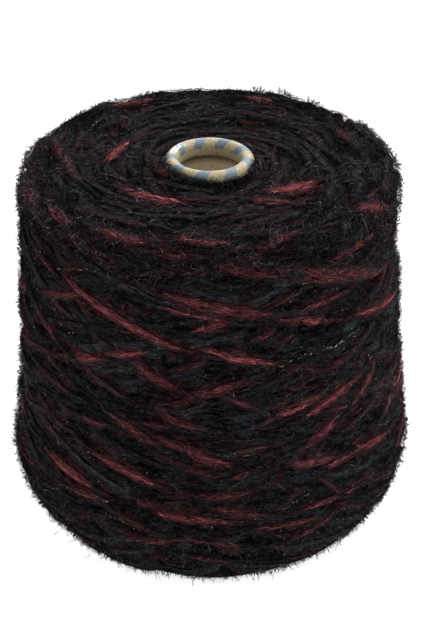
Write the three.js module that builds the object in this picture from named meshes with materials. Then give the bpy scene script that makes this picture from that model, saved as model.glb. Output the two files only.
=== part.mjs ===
// A cross-wound package of brushed acrylic yarn on a paper cone.
// Millimetres, +Z up. The package stands on z = 0, and its axis is the Z axis.
// The small end of the paper cone, the nose, is at the top.

import * as THREE from "three";

// Driving dimensions of the paper cone
const CONE = {
  length: 170,
  baseRadius: 31.3,
  taper: THREE.MathUtils.degToRad(4 + 20 / 60),
  wall: 3,
  beadRadius: 2.9,
  beadCentre: 15.7,
  lipDepth: 7,
  lipThickness: 2.2,
  lipGap: 0.8,
  lipCornerCut: 0.6,
  undercut: 2,
  boreRelief: 3,
  neck: 4,
  sides: 56,
  beadSteps: 10,
};

// Driving dimensions of the wound yarn
const YARN = {
  height: 166.5,
  baseRadius: 87.6,
  topRadius: 78.4,
  waist: 1.4,
  dish: 1.7,
  footReach: 32,
  footHeight: 38,
  rimReach: 6,
  rimHeight: 7,
  gapToCone: 0.3,
  windingAngle: THREE.MathUtils.degToRad(17),
  columns: 46,
  faceRowPitch: 3.6,
  rimRows: 6,
  footRowStretch: 1.25,
  boreUpperShare: 0.75,
};

// How the strands stand out of the skin. Shares are of the depth, and periods
// are counted in rows.
const STRANDS = {
  depth: 1.5,
  crestShare: 0.6,
  crestSpread: 0.35,
  hollowSpread: 0.22,
  swellShare: 0.08,
  swellSpread: 0.2,
  period: 9,
  periodSpread: 16,
  underShare: 0.25,
  meanShare: 0.7,
  faceRise: 0.45,
  faceWaves: 3,
  footFade: 10,
};

// Broad unevenness of the hand-soft package. Azimuth 0 faces the front, -Y,
// and grows towards the right, +X. Rise is outwards from the even cone.
const BULGES = [
  { azimuth: -84, height: 66, spreadAzimuth: 30, spreadHeight: 26, rise: -1.1 },
  { azimuth: 86, height: 42, spreadAzimuth: 30, spreadHeight: 24, rise: 0.4 },
  { azimuth: 88, height: 137, spreadAzimuth: 22, spreadHeight: 11, rise: -2.2 },
  { azimuth: -38, height: 128, spreadAzimuth: 22, spreadHeight: 20, rise: 0.9 },
  { azimuth: 24, height: 84, spreadAzimuth: 26, spreadHeight: 22, rise: -0.7 },
  { azimuth: 128, height: 118, spreadAzimuth: 34, spreadHeight: 26, rise: 1.0 },
  { azimuth: 196, height: 60, spreadAzimuth: 30, spreadHeight: 30, rise: 0.9 },
];

const YARN_FINISH = { color: 0x17171b, roughness: 0.95, metalness: 0 };
const PAPER_FINISH = { color: 0xb59c74, roughness: 0.55, metalness: 0 };

// Repeatable random numbers from 0 to 1
function seededRandom(seed) {
  let state = seed >>> 0;
  return () => {
    state = (Math.imul(state, 1664525) + 1013904223) >>> 0;
    return state / 4294967296;
  };
}

function coneOuterRadius(z) {
  return CONE.baseRadius - z * Math.tan(CONE.taper);
}

// Paper cone: a tapered tube whose nose is rolled over inwards into a bead,
// with the lip of the roll hanging free inside the bore.
function paperConeProfile() {
  const beadHeight = CONE.length - CONE.beadRadius;
  const innerWall = (z) => coneOuterRadius(z) - CONE.wall;
  const lipInside = CONE.beadCentre - CONE.beadRadius;
  const lipOutside = lipInside + CONE.lipThickness;
  const lipEnd = CONE.length - CONE.lipDepth;
  const undercutTop = lipEnd + CONE.undercut;
  const taperEnd = beadHeight - CONE.neck;
  const boreTop = lipEnd - CONE.boreRelief;
  const points = [
    new THREE.Vector2(innerWall(0), 0),
    new THREE.Vector2(CONE.baseRadius, 0),
    new THREE.Vector2(coneOuterRadius(taperEnd), taperEnd),
  ];
  for (let step = 0; step <= CONE.beadSteps; step++) {
    const turn = (Math.PI * step) / CONE.beadSteps;
    points.push(new THREE.Vector2(
      CONE.beadCentre + CONE.beadRadius * Math.cos(turn),
      beadHeight + CONE.beadRadius * Math.sin(turn),
    ));
  }
  points.push(
    new THREE.Vector2(lipInside, lipEnd + CONE.lipCornerCut),
    new THREE.Vector2(lipInside + CONE.lipCornerCut, lipEnd),
    new THREE.Vector2(lipOutside - CONE.lipCornerCut, lipEnd),
    new THREE.Vector2(lipOutside, lipEnd + CONE.lipCornerCut),
    new THREE.Vector2(lipOutside, undercutTop),
    new THREE.Vector2(lipOutside + CONE.lipGap, undercutTop),
    new THREE.Vector2(innerWall(boreTop), boreTop),
    new THREE.Vector2(innerWall(CONE.length / 2), CONE.length / 2),
    new THREE.Vector2(innerWall(0), 0),
  );
  return points;
}

// A lathe turns its profile round Y, so the result is stood up on Z.
function turnedAboutZ(profile, sides) {
  const geometry = new THREE.LatheGeometry(profile, sides);
  geometry.rotateX(Math.PI / 2);
  return geometry;
}

// The even outline of the wound body: its radius at a height, before unevenness
function sideRadius(z) {
  const run = YARN.height - YARN.rimHeight - YARN.footHeight;
  const along = THREE.MathUtils.clamp((z - YARN.footHeight) / run, 0, 1);
  const straight = YARN.baseRadius + (YARN.topRadius - YARN.baseRadius) * along;
  return straight - YARN.waist * Math.sin(Math.PI * along);
}

function faceHeight(r) {
  const inner = coneOuterRadius(YARN.height) + YARN.gapToCone;
  const outer = YARN.topRadius - YARN.rimReach;
  const inwards = THREE.MathUtils.clamp((outer - r) / (outer - inner), 0, 1);
  return YARN.height - YARN.dish * inwards * inwards;
}

// Rows round the body, from the nose end of the bore over the face, the rim,
// the side and the foot to the base, and back up the bore. Each row holds its
// radius, height, outward direction, and how much the strands stand out there.
function yarnRows() {
  const rows = [];
  const cellWidth = (Math.PI * (YARN.baseRadius + YARN.topRadius)) / 2 / YARN.columns;
  const sidePitch = cellWidth * Math.tan(YARN.windingAngle);
  const add = (r, z, outR, outZ, crossing, ringed) => {
    const size = Math.hypot(outR, outZ);
    rows.push({ r, z, outR: outR / size, outZ: outZ / size, crossing, ringed });
  };

  const faceInner = coneOuterRadius(YARN.height - YARN.dish) + YARN.gapToCone;
  const faceOuter = YARN.topRadius - YARN.rimReach;
  const faceRows = Math.round((faceOuter - faceInner) / YARN.faceRowPitch);
  for (let row = 0; row < faceRows; row++) {
    const along = row / faceRows;
    const r = THREE.MathUtils.lerp(faceInner, faceOuter, along);
    add(r, faceHeight(r), 0, 1, 0, row === 0 ? 0 : 1);
  }

  for (let row = 0; row < YARN.rimRows; row++) {
    const along = row / YARN.rimRows;
    const turn = (Math.PI / 2) * along;
    const r = faceOuter + YARN.rimReach * Math.sin(turn);
    const z = YARN.height - YARN.rimHeight * (1 - Math.cos(turn));
    add(r, z, Math.sin(turn), Math.cos(turn), along, 1 - along);
  }

  const sideTop = YARN.height - YARN.rimHeight;
  const sideRows = Math.round((sideTop - YARN.footHeight) / sidePitch);
  const sideLean = (YARN.baseRadius - YARN.topRadius) / (sideTop - YARN.footHeight);
  for (let row = 0; row < sideRows; row++) {
    const z = THREE.MathUtils.lerp(sideTop, YARN.footHeight, row / sideRows);
    add(sideRadius(z), z, 1, sideLean, 1, 0);
  }

  const footCentre = YARN.baseRadius - YARN.footReach;
  const footArc = (Math.PI / 2) * (YARN.footReach + YARN.footHeight) / 2;
  const footRows = Math.round(footArc / (YARN.footRowStretch * sidePitch));
  for (let row = 0; row < footRows; row++) {
    const turn = (Math.PI / 2) * (row / footRows);
    const z = YARN.footHeight * (1 - Math.sin(turn));
    const fade = THREE.MathUtils.clamp(z / STRANDS.footFade, 0, 1);
    add(footCentre + YARN.footReach * Math.cos(turn), z, Math.cos(turn), -Math.sin(turn), fade, 0);
  }

  const boreBase = CONE.baseRadius + YARN.gapToCone;
  for (const along of [0, 0.5, 1]) {
    add(THREE.MathUtils.lerp(footCentre, boreBase, along), 0, 0, -1, 0, 0);
  }
  const boreMiddle = YARN.height / 2;
  add(coneOuterRadius(boreMiddle) + YARN.gapToCone, boreMiddle, -1, 0, 0, 0);
  if (rows.length % 2 === 1) {
    const boreUpper = YARN.height * YARN.boreUpperShare;
    add(coneOuterRadius(boreUpper) + YARN.gapToCone, boreUpper, -1, 0, 0, 0);
  }
  return rows;
}

// Strands run along the two diagonals of the lattice of points, one family
// climbing to the right and one to the left. Every second diagonal is a strand
// and the rest are the hollows between them. Each strand swells and thins.
function strandFamily(random) {
  const strands = [];
  for (let index = 0; index < YARN.columns; index++) {
    const hollow = index % 2 === 1;
    strands.push({
      thickness: hollow
        ? STRANDS.hollowSpread * random()
        : STRANDS.crestShare + STRANDS.crestSpread * random(),
      swell: hollow ? 0 : STRANDS.swellShare + STRANDS.swellSpread * random(),
      period: STRANDS.period + STRANDS.periodSpread * random(),
      phase: 2 * Math.PI * random(),
    });
  }
  return (index, row) => {
    const wrapped = ((index % YARN.columns) + YARN.columns) % YARN.columns;
    const strand = strands[wrapped];
    const wave = Math.sin((2 * Math.PI * row) / strand.period + strand.phase);
    return strand.thickness + strand.swell * wave;
  };
}

function bulgeRise(azimuth, z) {
  let rise = 0;
  for (const bulge of BULGES) {
    const apart = Math.atan2(
      Math.sin(azimuth - THREE.MathUtils.degToRad(bulge.azimuth)),
      Math.cos(azimuth - THREE.MathUtils.degToRad(bulge.azimuth)),
    );
    const across = THREE.MathUtils.radToDeg(apart) / bulge.spreadAzimuth;
    const up = (z - bulge.height) / bulge.spreadHeight;
    rise += bulge.rise * Math.exp(-(across * across + up * up));
  }
  return rise;
}

// The uneven skin is moved so that its box is centred on the cone's axis. The
// bore and the flat base, whose skin weight is 0, stay where they are.
function centreSkin(points, skin) {
  const centre = new THREE.Box3().setFromPoints(points).getCenter(new THREE.Vector3());
  points.forEach((point, index) => {
    point.x -= centre.x * skin[index];
    point.y -= centre.y * skin[index];
  });
}

// The lattice of points on the wound body. Odd rows are turned by half a cell,
// so the diagonals between rows follow the winding.
function woundYarnGeometry() {
  const rows = yarnRows();
  const random = seededRandom(20);
  const climbing = strandFamily(random);
  const falling = strandFamily(random);
  const ringShifts = rows.map(() => 2 * Math.PI * random());
  const ringSigns = rows.map((row, rowIndex) => (rowIndex % 2 === 0 ? 1 : -1));
  const points = [];
  const skin = [];
  rows.forEach((row, rowIndex) => {
    for (let column = 0; column < YARN.columns; column++) {
      const halfCells = 2 * column + (rowIndex % 2);
      const azimuth = (Math.PI * halfCells) / YARN.columns;
      const first = climbing((halfCells - rowIndex) / 2, rowIndex);
      const second = falling((halfCells + rowIndex) / 2, rowIndex);
      const over = Math.max(first, second);
      const under = Math.min(first, second);
      const crossed = over + STRANDS.underShare * under - STRANDS.meanShare;
      const ring = ringSigns[rowIndex] * Math.sin(STRANDS.faceWaves * azimuth + ringShifts[rowIndex]);
      const strandRise = STRANDS.depth * row.crossing * crossed
        + STRANDS.faceRise * row.ringed * ring;
      const outwards = strandRise + row.crossing * bulgeRise(azimuth, row.z);
      const r = row.r + row.outR * outwards;
      const z = row.z + row.outZ * outwards;
      points.push(new THREE.Vector3(r * Math.sin(azimuth), -r * Math.cos(azimuth), z));
      skin.push(row.crossing);
    }
  });
  centreSkin(points, skin);

  const triangles = [];
  const at = (row, column) => (row % rows.length) * YARN.columns
    + ((column + YARN.columns) % YARN.columns);
  for (let row = 0; row < rows.length; row++) {
    for (let column = 0; column < YARN.columns; column++) {
      const next = row + 1;
      if (row % 2 === 0) {
        triangles.push(at(row, column), at(next, column), at(row, column + 1));
        triangles.push(at(row, column + 1), at(next, column), at(next, column + 1));
      } else {
        triangles.push(at(row, column), at(next, column), at(next, column + 1));
        triangles.push(at(row, column), at(next, column + 1), at(row, column + 1));
      }
    }
  }
  const geometry = new THREE.BufferGeometry();
  geometry.setFromPoints(points);
  geometry.setIndex(triangles);
  geometry.computeVertexNormals();
  return geometry;
}

function namedMesh(name, geometry, finish) {
  const mesh = new THREE.Mesh(geometry, new THREE.MeshStandardMaterial(finish));
  mesh.name = name;
  return mesh;
}

const yarnPackage = new THREE.Group();
yarnPackage.add(
  namedMesh("paper_cone", turnedAboutZ(paperConeProfile(), CONE.sides), PAPER_FINISH),
  namedMesh("wound_yarn", woundYarnGeometry(), YARN_FINISH),
);

export default yarnPackage;
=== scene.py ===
import math

import bpy
import numpy as np
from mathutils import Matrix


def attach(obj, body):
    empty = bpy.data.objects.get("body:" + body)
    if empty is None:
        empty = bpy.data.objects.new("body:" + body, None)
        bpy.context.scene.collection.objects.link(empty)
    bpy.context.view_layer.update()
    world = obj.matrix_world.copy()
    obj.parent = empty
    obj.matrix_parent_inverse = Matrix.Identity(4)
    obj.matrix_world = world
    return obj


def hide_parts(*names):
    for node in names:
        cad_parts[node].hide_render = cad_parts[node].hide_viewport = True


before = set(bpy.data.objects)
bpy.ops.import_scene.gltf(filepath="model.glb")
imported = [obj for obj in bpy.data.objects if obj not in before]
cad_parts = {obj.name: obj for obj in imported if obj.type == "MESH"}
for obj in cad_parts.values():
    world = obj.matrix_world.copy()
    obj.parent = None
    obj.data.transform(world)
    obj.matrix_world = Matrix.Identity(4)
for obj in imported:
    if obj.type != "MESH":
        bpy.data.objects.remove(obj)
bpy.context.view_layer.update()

# Sizes below are millimetres and degrees, and meshes are written in metres.
MM = 0.001


# Camera, floor and light
# The package stands on a plain white studio floor and is seen from a little
# above, in front. Broad soft light comes from the upper right and from behind,
# and a small light behind it glints on the varnished nose of the cone.
IMAGE_LONG_SIDE = 631
FOCAL_PIXELS = 1606
CAMERA_ELEVATION = math.radians(31.7)
CAMERA_DISTANCE = 704
AIM = (0.4, 0.0, 91.9)
SENSOR = 36.0
FLOOR_REACH = 6.0
FLOOR_GREY = (0.62, 0.62, 0.62, 1)
FLOOR_GLOW = 0.85
STUDIO_GLOW = 0.9
WHITE = (1, 1, 1, 1)
# Places, targets and widths of the lights are in metres, and power is in watts.
LIGHT_COLUMNS = ("name", "place", "target", "width", "power")
LIGHTS = (
    ("upper_right_light", (0.8, 0.1, 1.5), (0, 0, 0.1), 0.9, 19),
    ("upper_back_light", (0.55, 1.2, 1.1), (0, 0, 0.16), 0.7, 18),
    ("small_back_light", (-0.215, 1.38, 0.72), (0, 0, 0.165), 0.16, 5),
)

camera_data = bpy.data.cameras.new("photo_camera")
camera_data.sensor_fit = "AUTO"
camera_data.sensor_width = SENSOR
camera_data.lens = FOCAL_PIXELS / IMAGE_LONG_SIDE * SENSOR
camera_data.clip_start = 0.01
camera = bpy.data.objects.new("photo_camera", camera_data)
camera.location = (
    AIM[0] * MM,
    -CAMERA_DISTANCE * math.cos(CAMERA_ELEVATION) * MM,
    (AIM[2] + CAMERA_DISTANCE * math.sin(CAMERA_ELEVATION)) * MM,
)
camera.rotation_euler = (math.pi / 2 - CAMERA_ELEVATION, 0, 0)
bpy.context.scene.collection.objects.link(camera)
bpy.context.scene.camera = camera
bpy.context.scene.view_settings.view_transform = "Standard"

floor_mesh = bpy.data.meshes.new("studio_floor")
floor_corners = [(x * FLOOR_REACH, y * FLOOR_REACH, 0) for x, y in ((-1, -1), (1, -1), (1, 1), (-1, 1))]
floor_mesh.from_pydata(floor_corners, [], [(0, 1, 2, 3)])
floor = bpy.data.objects.new("studio_floor", floor_mesh)
bpy.context.scene.collection.objects.link(floor)
floor_material = bpy.data.materials.new("white_floor")
floor_material.use_nodes = True
floor_shader = floor_material.node_tree.nodes["Principled BSDF"]
floor_shader.inputs["Base Color"].default_value = FLOOR_GREY
floor_shader.inputs["Roughness"].default_value = 0.9
floor_shader.inputs["Specular IOR Level"].default_value = 0.0
floor_shader.inputs["Emission Color"].default_value = WHITE
floor_shader.inputs["Emission Strength"].default_value = FLOOR_GLOW
floor_mesh.materials.append(floor_material)

world = bpy.data.worlds.new("soft_studio")
world.use_nodes = True
world.node_tree.nodes["Background"].inputs["Color"].default_value = WHITE
world.node_tree.nodes["Background"].inputs["Strength"].default_value = STUDIO_GLOW
bpy.context.scene.world = world


def soft_light(name, place, target, width, power):
    """A round area light that looks from one point to another."""
    data = bpy.data.lights.new(name, "AREA")
    data.shape = "DISK"
    data.size = width
    data.energy = power
    light = bpy.data.objects.new(name, data)
    light.location = place
    away = np.array(place) - np.array(target)
    light.rotation_euler = (
        math.acos(away[2] / np.linalg.norm(away)),
        0,
        math.atan2(away[1], away[0]) + math.pi / 2,
    )
    bpy.context.scene.collection.objects.link(light)


for light_row in LIGHTS:
    soft_light(**dict(zip(LIGHT_COLUMNS, light_row)))


# Paper cone
# A spiral-wound kraft paper tube, tapered, with its nose rolled over inwards
# into a varnished bead. Slanted blue patches are printed round the bead.
CONE_LENGTH = 170
CONE_BASE_RADIUS = 31.3
CONE_TAPER = math.radians(4 + 20 / 60)
CONE_WALL = 3.0
BEAD_RADIUS = 2.9
BEAD_CENTRE = 15.7
LIP_END = 163
LIP_THICKNESS = 2.2
UNDERCUT_TOP = 165
UNDERCUT_WIDTH = 0.8
BASE_EDGE = 0.4
INNER_WALL_TOP = 160
CONE_COLUMNS = 104
WALL_ROWS = 36
BEAD_ROWS = 27
# Roll is the way along the paper in millimetres, from the outermost point of the bead. It is
# below nought down the outer wall, and grows over the bead, under the lip and down the bore.
ROLL_AT_OUTER_BASE = -168.0
ROLL_AT_INNER_BASE = 190.0
INNER_WALL_ROLL = 13
INNER_WALL_FADE = 3
# The rolled edge is finely creased. Each row is the waves round the bead, their start and depth.
CREASES = ((31, 0, 0.05), (57, 2, 0.03))
CREASE_ROLL = 9.5
CREASE_REACH = 2.2
KRAFT_LIGHT = (0.37, 0.305, 0.175, 1)
KRAFT_DARK = (0.14, 0.108, 0.06, 1)
# The bore's kraft is lightened with painted light, for the dim inside of the cone.
KRAFT_INSIDE_PAINTED_LIGHT = (0.80, 0.67, 0.48, 1)
KRAFT_GRIME = (0.10, 0.085, 0.06, 1)
PRINT_BLUE = (0.078, 0.132, 0.175, 1)
# The patches' start, width and slant are shares of one repeat, and their ends are a roll.
PATCH_COUNT = 9
PATCH_START = 0.85
PATCH_SLANT = 0.045
PATCH_HALF_WIDTH = 0.235
PATCH_SIDE_FADE = 0.035
PATCH_TOP = 9.7
PATCH_BOTTOM = -3.5
PATCH_END_FADE = 0.5
SHINE_AZIMUTH = math.radians(-115)
LAYER_KINDS = {1: ("FLOAT", "value"), 3: ("FLOAT_VECTOR", "vector"), 4: ("FLOAT_COLOR", "color")}


def cone_outside(z):
    return CONE_BASE_RADIUS - z * math.tan(CONE_TAPER)


def piece_from_arrays(name, corners, triangles, material, layers):
    """A smooth mesh from millimetre points, with named point layers of one, three or four values."""
    mesh = bpy.data.meshes.new(name)
    mesh.vertices.add(len(corners))
    mesh.vertices.foreach_set("co", (np.asarray(corners) * MM).astype(np.float32).ravel())
    mesh.loops.add(3 * len(triangles))
    mesh.loops.foreach_set("vertex_index", np.asarray(triangles, np.int32).ravel())
    mesh.polygons.add(len(triangles))
    mesh.polygons.foreach_set("loop_start", np.arange(len(triangles), dtype=np.int32) * 3)
    mesh.update(calc_edges=True)
    mesh.shade_smooth()
    for layer, values in layers.items():
        values = np.asarray(values, np.float32)
        kind, key = LAYER_KINDS[values.size // len(corners)]
        mesh.attributes.new(layer, kind, "POINT").data.foreach_set(key, values.ravel())
    mesh.materials.append(material)
    piece = bpy.data.objects.new(name, mesh)
    bpy.context.scene.collection.objects.link(piece)
    return piece


def node_maker(tree):
    """A function that adds a node by type, sets its properties and inputs, and returns it."""

    def make(kind, settings=None, **inputs):
        """An input is given by its name, or by the letter i and its number."""
        node = tree.nodes.new(kind)
        for key, value in (settings or {}).items():
            setattr(node, key, value)
        for key, value in inputs.items():
            by_number = key[0] == "i" and key[1:].isdigit()
            socket = node.inputs[int(key[1:]) if by_number else key.replace("_", " ")]
            if isinstance(value, bpy.types.NodeSocket):
                tree.links.new(value, socket)
            else:
                socket.default_value = value
        return node

    return make


def new_material(name):
    """A new material, the node maker of its tree, and its Principled shader."""
    material = bpy.data.materials.new(name)
    material.use_nodes = True
    shader = material.node_tree.nodes["Principled BSDF"]
    return material, node_maker(material.node_tree), shader


def connect(material, source, shader, name):
    material.node_tree.links.new(source, shader.inputs[name])


def new_group(name, sockets):
    """A shader node group with inputs and outputs given as (name, direction, socket type)."""
    group = bpy.data.node_groups.new(name, "ShaderNodeTree")
    for socket, direction, kind in sockets:
        group.interface.new_socket(name=socket, in_out=direction, socket_type=kind)
    source = group.nodes.new("NodeGroupInput")
    result = group.nodes.new("NodeGroupOutput")
    return group, node_maker(group), source, result


def math_node(make, operation, first, second=0.0, third=0.0):
    node = make("ShaderNodeMath", {"operation": operation}, i0=first, i1=second, i2=third)
    return node.outputs[0]


def blend_colours(make, amount, first, second):
    node = make("ShaderNodeMix", {"data_type": "RGBA"}, i0=amount, i6=first, i7=second)
    return node.outputs[2]


def cone_section():
    """The cone's outline as rows of radius, height and roll: up the outer wall, over the bead,
    round the lip, and down the bore."""
    bead_height = CONE_LENGTH - BEAD_RADIUS
    lip_inside = BEAD_CENTRE - BEAD_RADIUS
    points = [(cone_outside(0) - BASE_EDGE, 0.0, ROLL_AT_OUTER_BASE)]
    for z in np.linspace(BASE_EDGE, bead_height - 4, WALL_ROWS):
        points.append((cone_outside(z), z, z - bead_height))
    for turn in np.linspace(0, math.pi, BEAD_ROWS):
        points.append((
            BEAD_CENTRE + BEAD_RADIUS * math.cos(turn),
            bead_height + BEAD_RADIUS * math.sin(turn),
            BEAD_RADIUS * turn,
        ))
    rolled = BEAD_RADIUS * math.pi
    points += [
        (lip_inside - 0.05, 166.2, rolled + 0.9),
        (lip_inside, 165.2, rolled + 1.9),
        (lip_inside + 0.05, LIP_END + 0.9, rolled + 3.2),
        (lip_inside + 0.35, LIP_END + 0.15, rolled + 4),
        (lip_inside + 1.0, LIP_END, rolled + 5),
        (lip_inside + LIP_THICKNESS - 0.3, LIP_END + 0.1, rolled + 6),
        (lip_inside + LIP_THICKNESS, LIP_END + 0.7, rolled + 7),
        (lip_inside + LIP_THICKNESS, UNDERCUT_TOP, rolled + 9),
        (lip_inside + LIP_THICKNESS + UNDERCUT_WIDTH, UNDERCUT_TOP, rolled + 10),
    ]
    for z in np.linspace(INNER_WALL_TOP, BASE_EDGE, WALL_ROWS):
        points.append((cone_outside(z) - CONE_WALL, z, rolled + 15 + INNER_WALL_TOP - z))
    points.append((cone_outside(0) - CONE_WALL + BASE_EDGE, 0.0, ROLL_AT_INNER_BASE))
    return np.array(points)


def make_kraft():
    """Kraft board: pulp fibres, the print and grime on the varnished bead, and a bore lightened with
    painted light and darkened with painted shade under the lip.
    """
    material, make, shader = new_material("kraft_paperboard")
    roll = make("ShaderNodeAttribute", {"attribute_name": "roll"}).outputs["Fac"]
    inside = make("ShaderNodeAttribute", {"attribute_name": "inside"}).outputs["Fac"]
    place = make("ShaderNodeTexCoord").outputs["Object"]
    at = make("ShaderNodeSeparateXYZ", Vector=place)
    to_front = math_node(make, "MULTIPLY", at.outputs["Y"], -1.0)
    around = math_node(make, "ARCTAN2", at.outputs["X"], to_front)
    turn = math_node(make, "DIVIDE", around, 2 * math.pi)

    pulp_around = math_node(make, "MULTIPLY", turn, 260)
    pulp_along = math_node(make, "MULTIPLY", roll, 0.35)
    pulp_place = make("ShaderNodeCombineXYZ", X=pulp_around, Y=pulp_along).outputs[0]
    pulp = make("ShaderNodeTexNoise", Vector=pulp_place, Scale=1.0, Detail=4.0, Roughness=0.6)
    blotch = make("ShaderNodeTexNoise", Vector=place, Scale=900.0, Detail=3.0)
    fade = make("ShaderNodeMapRange", i0=pulp.outputs["Fac"], i1=0.38, i2=0.58)
    kraft = blend_colours(make, fade.outputs[0], KRAFT_DARK, KRAFT_LIGHT)
    blotched = math_node(make, "MULTIPLY", blotch.outputs["Fac"], 0.6)
    lighter = blend_colours(make, blotched, kraft, KRAFT_LIGHT)
    # Painted shade: the bore is darkened just under the lip, and is lighter further down.
    painted_shade_under_lip = make("ShaderNodeMapRange", i0=roll, i1=22.8, i2=26.5, i3=0.08, i4=1.0)
    inner_wall_painted_light_and_shade = make(
        "ShaderNodeVectorMath", {"operation": "SCALE"}, i0=KRAFT_INSIDE_PAINTED_LIGHT[:3], Scale=painted_shade_under_lip.outputs[0]
    )
    faint_pulp = math_node(make, "MULTIPLY", fade.outputs[0], 0.35)
    streaked = blend_colours(make, faint_pulp, inner_wall_painted_light_and_shade.outputs[0], KRAFT_DARK)
    plain = blend_colours(make, inside, lighter, streaked)

    wander = make("ShaderNodeTexNoise", Vector=place, Scale=600.0, Detail=2.0)
    wobble = math_node(make, "MULTIPLY_ADD", wander.outputs["Fac"], 0.12, -0.06)
    slant = math_node(make, "MULTIPLY_ADD", roll, -PATCH_SLANT, wobble)
    counted = math_node(make, "MULTIPLY_ADD", turn, PATCH_COUNT, slant)
    across = math_node(make, "FRACT", math_node(make, "ADD", counted, PATCH_START))
    off_middle = math_node(make, "ABSOLUTE", math_node(make, "SUBTRACT", across, 0.5))
    uneven_roll = math_node(make, "MULTIPLY_ADD", wobble, 3.0, roll)

    def fades_in(value, nought, full):
        return make("ShaderNodeMapRange", i0=value, i1=nought, i2=full).outputs[0]

    between_sides = fades_in(off_middle, PATCH_HALF_WIDTH, PATCH_HALF_WIDTH - PATCH_SIDE_FADE)
    below_top = fades_in(uneven_roll, PATCH_TOP, PATCH_TOP - PATCH_END_FADE)
    above_bottom = fades_in(uneven_roll, PATCH_BOTTOM, PATCH_BOTTOM + PATCH_END_FADE)
    between_ends = math_node(make, "MULTIPLY", below_top, above_bottom)
    patch = math_node(make, "MULTIPLY", between_sides, between_ends)
    rubbed = make("ShaderNodeMapRange", i0=blotch.outputs["Fac"], i1=0.35, i2=0.5, i3=0.72, i4=1.0)
    ink = math_node(make, "MULTIPLY", patch, rubbed.outputs[0])
    printed = blend_colours(make, ink, plain, PRINT_BLUE)
    specks = make("ShaderNodeTexNoise", Vector=place, Scale=1000.0, Detail=3.0, Roughness=0.75)
    grime = make("ShaderNodeMapRange", i0=specks.outputs["Fac"], i1=0.50, i2=0.64, i3=0.0, i4=0.65)
    outside = math_node(make, "SUBTRACT", 1.0, inside)
    grime_outside = math_node(make, "MULTIPLY", grime.outputs[0], outside)
    soiled = blend_colours(make, grime_outside, printed, KRAFT_GRIME)
    connect(material, soiled, shader, "Base Color")

    from_shine = math_node(make, "COSINE", math_node(make, "SUBTRACT", around, SHINE_AZIMUTH))
    glazed = make("ShaderNodeMapRange", i0=from_shine, i1=0.92, i2=0.985)
    worn = make("ShaderNodeMapRange", i0=glazed.outputs[0], i3=0.45, i4=0.20)
    rough = make("ShaderNodeMapRange", i0=roll, i1=7.0, i2=11.0, i3=worn.outputs[0], i4=0.75)
    scuffed = math_node(make, "MULTIPLY_ADD", blotch.outputs["Fac"], 0.16, rough.outputs[0])
    connect(material, math_node(make, "SUBTRACT", scuffed, 0.08), shader, "Roughness")
    smoothed = math_node(make, "MULTIPLY_ADD", glazed.outputs[0], -0.9, 1.0)
    height = math_node(make, "MULTIPLY", pulp.outputs["Fac"], smoothed)
    bump = make("ShaderNodeBump", Strength=0.8, Distance=0.0003, Height=height)
    connect(material, bump.outputs[0], shader, "Normal")
    return material


def round_grid(radius, height, angle):
    """Points at radii and heights, for each angle round the axis from the front."""
    radius, height, angle = np.broadcast_arrays(radius, height, angle)
    return np.stack([radius * np.sin(angle), -radius * np.cos(angle), height], axis=-1)


def grid_triangles(columns, rows):
    """Faces of a grid that closes on itself both ways, point column * rows + row."""
    column = np.repeat(np.arange(columns), rows)
    row = np.tile(np.arange(rows), columns)
    next_column = (column + 1) % columns
    next_row = (row + 1) % rows
    a = column * rows + row
    b = next_column * rows + row
    c = next_column * rows + next_row
    d = column * rows + next_row
    return np.concatenate([np.stack([a, b, c], 1), np.stack([a, c, d], 1)])


def make_cone():
    """The section turned round the axis, with the fine creases of the rolled edge."""
    section = cone_section()
    radius, height, roll = section.T
    angle = 2 * np.pi * (np.arange(CONE_COLUMNS) / CONE_COLUMNS)[:, None]
    creased = sum(depth * np.sin(waves * angle + start) for waves, start, depth in CREASES)
    near_edge = np.exp(-(((roll - CREASE_ROLL) / CREASE_REACH) ** 2))
    corners = round_grid(radius + creased * near_edge, height, angle).reshape(-1, 3)
    triangles = grid_triangles(CONE_COLUMNS, len(section))
    rolls = np.tile(roll, CONE_COLUMNS)
    inside = np.clip((rolls - INNER_WALL_ROLL) / INNER_WALL_FADE, 0, 1)
    layers = {"roll": rolls, "inside": inside}
    return piece_from_arrays("rolled_paper_cone", corners, triangles, make_kraft(), layers)


paper_cone = make_cone()
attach(paper_cone, "root")
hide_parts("paper_cone")


# Wound body
# Brushed acrylic yarn, wound to and fro over the cone in crossing helices that
# turn back at the rim and the foot. This piece is the dark mass of the lower
# turns, and carries the relief of the top ones, which are laid here one by one.
PACKAGE_HEIGHT = 166.5
SHOULDER_RADIUS = 87.6
TOP_RADIUS = 78.4
WAIST = 1.4
FACE_DISH = 1.7
NECK_COLLAR_RISE = 2.2
NECK_COLLAR_REACH = 3.6
FOOT_REACH = 32
FOOT_HEIGHT = 38
RIM_REACH = 6
RIM_HEIGHT = 7
RIM_ARC = 10.3
SIDE_LENGTH = 122
GAP_TO_CONE = 0.3
WINDING_ANGLE = math.radians(17)
BULGE_COLUMNS = ("azimuth", "height", "spread_azimuth", "spread_height", "rise")
BULGES = (
    (-84, 66, 30, 26, -1.1),
    (86, 42, 30, 24, 0.4),
    (88, 137, 22, 11, -2.2),
    (-38, 128, 22, 20, 0.9),
    (24, 84, 26, 22, -0.7),
    (128, 118, 34, 26, 1.0),
    (196, 60, 30, 30, 0.9),
)
OUTLINE_STEP = 0.5
LOWEST_CENTRE = 0.12

face_inner = cone_outside(PACKAGE_HEIGHT - FACE_DISH) + GAP_TO_CONE
face_outer = TOP_RADIUS - RIM_REACH
foot_inner = SHOULDER_RADIUS - FOOT_REACH
base_inner = CONE_BASE_RADIUS + GAP_TO_CONE


def softened(values, reach):
    """A row of values, each averaged with those within a reach of it."""
    window = np.hanning(2 * reach + 3)[1:-1]
    return np.convolve(np.pad(values, reach, "edge"), window / window.sum(), "valid")


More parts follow.
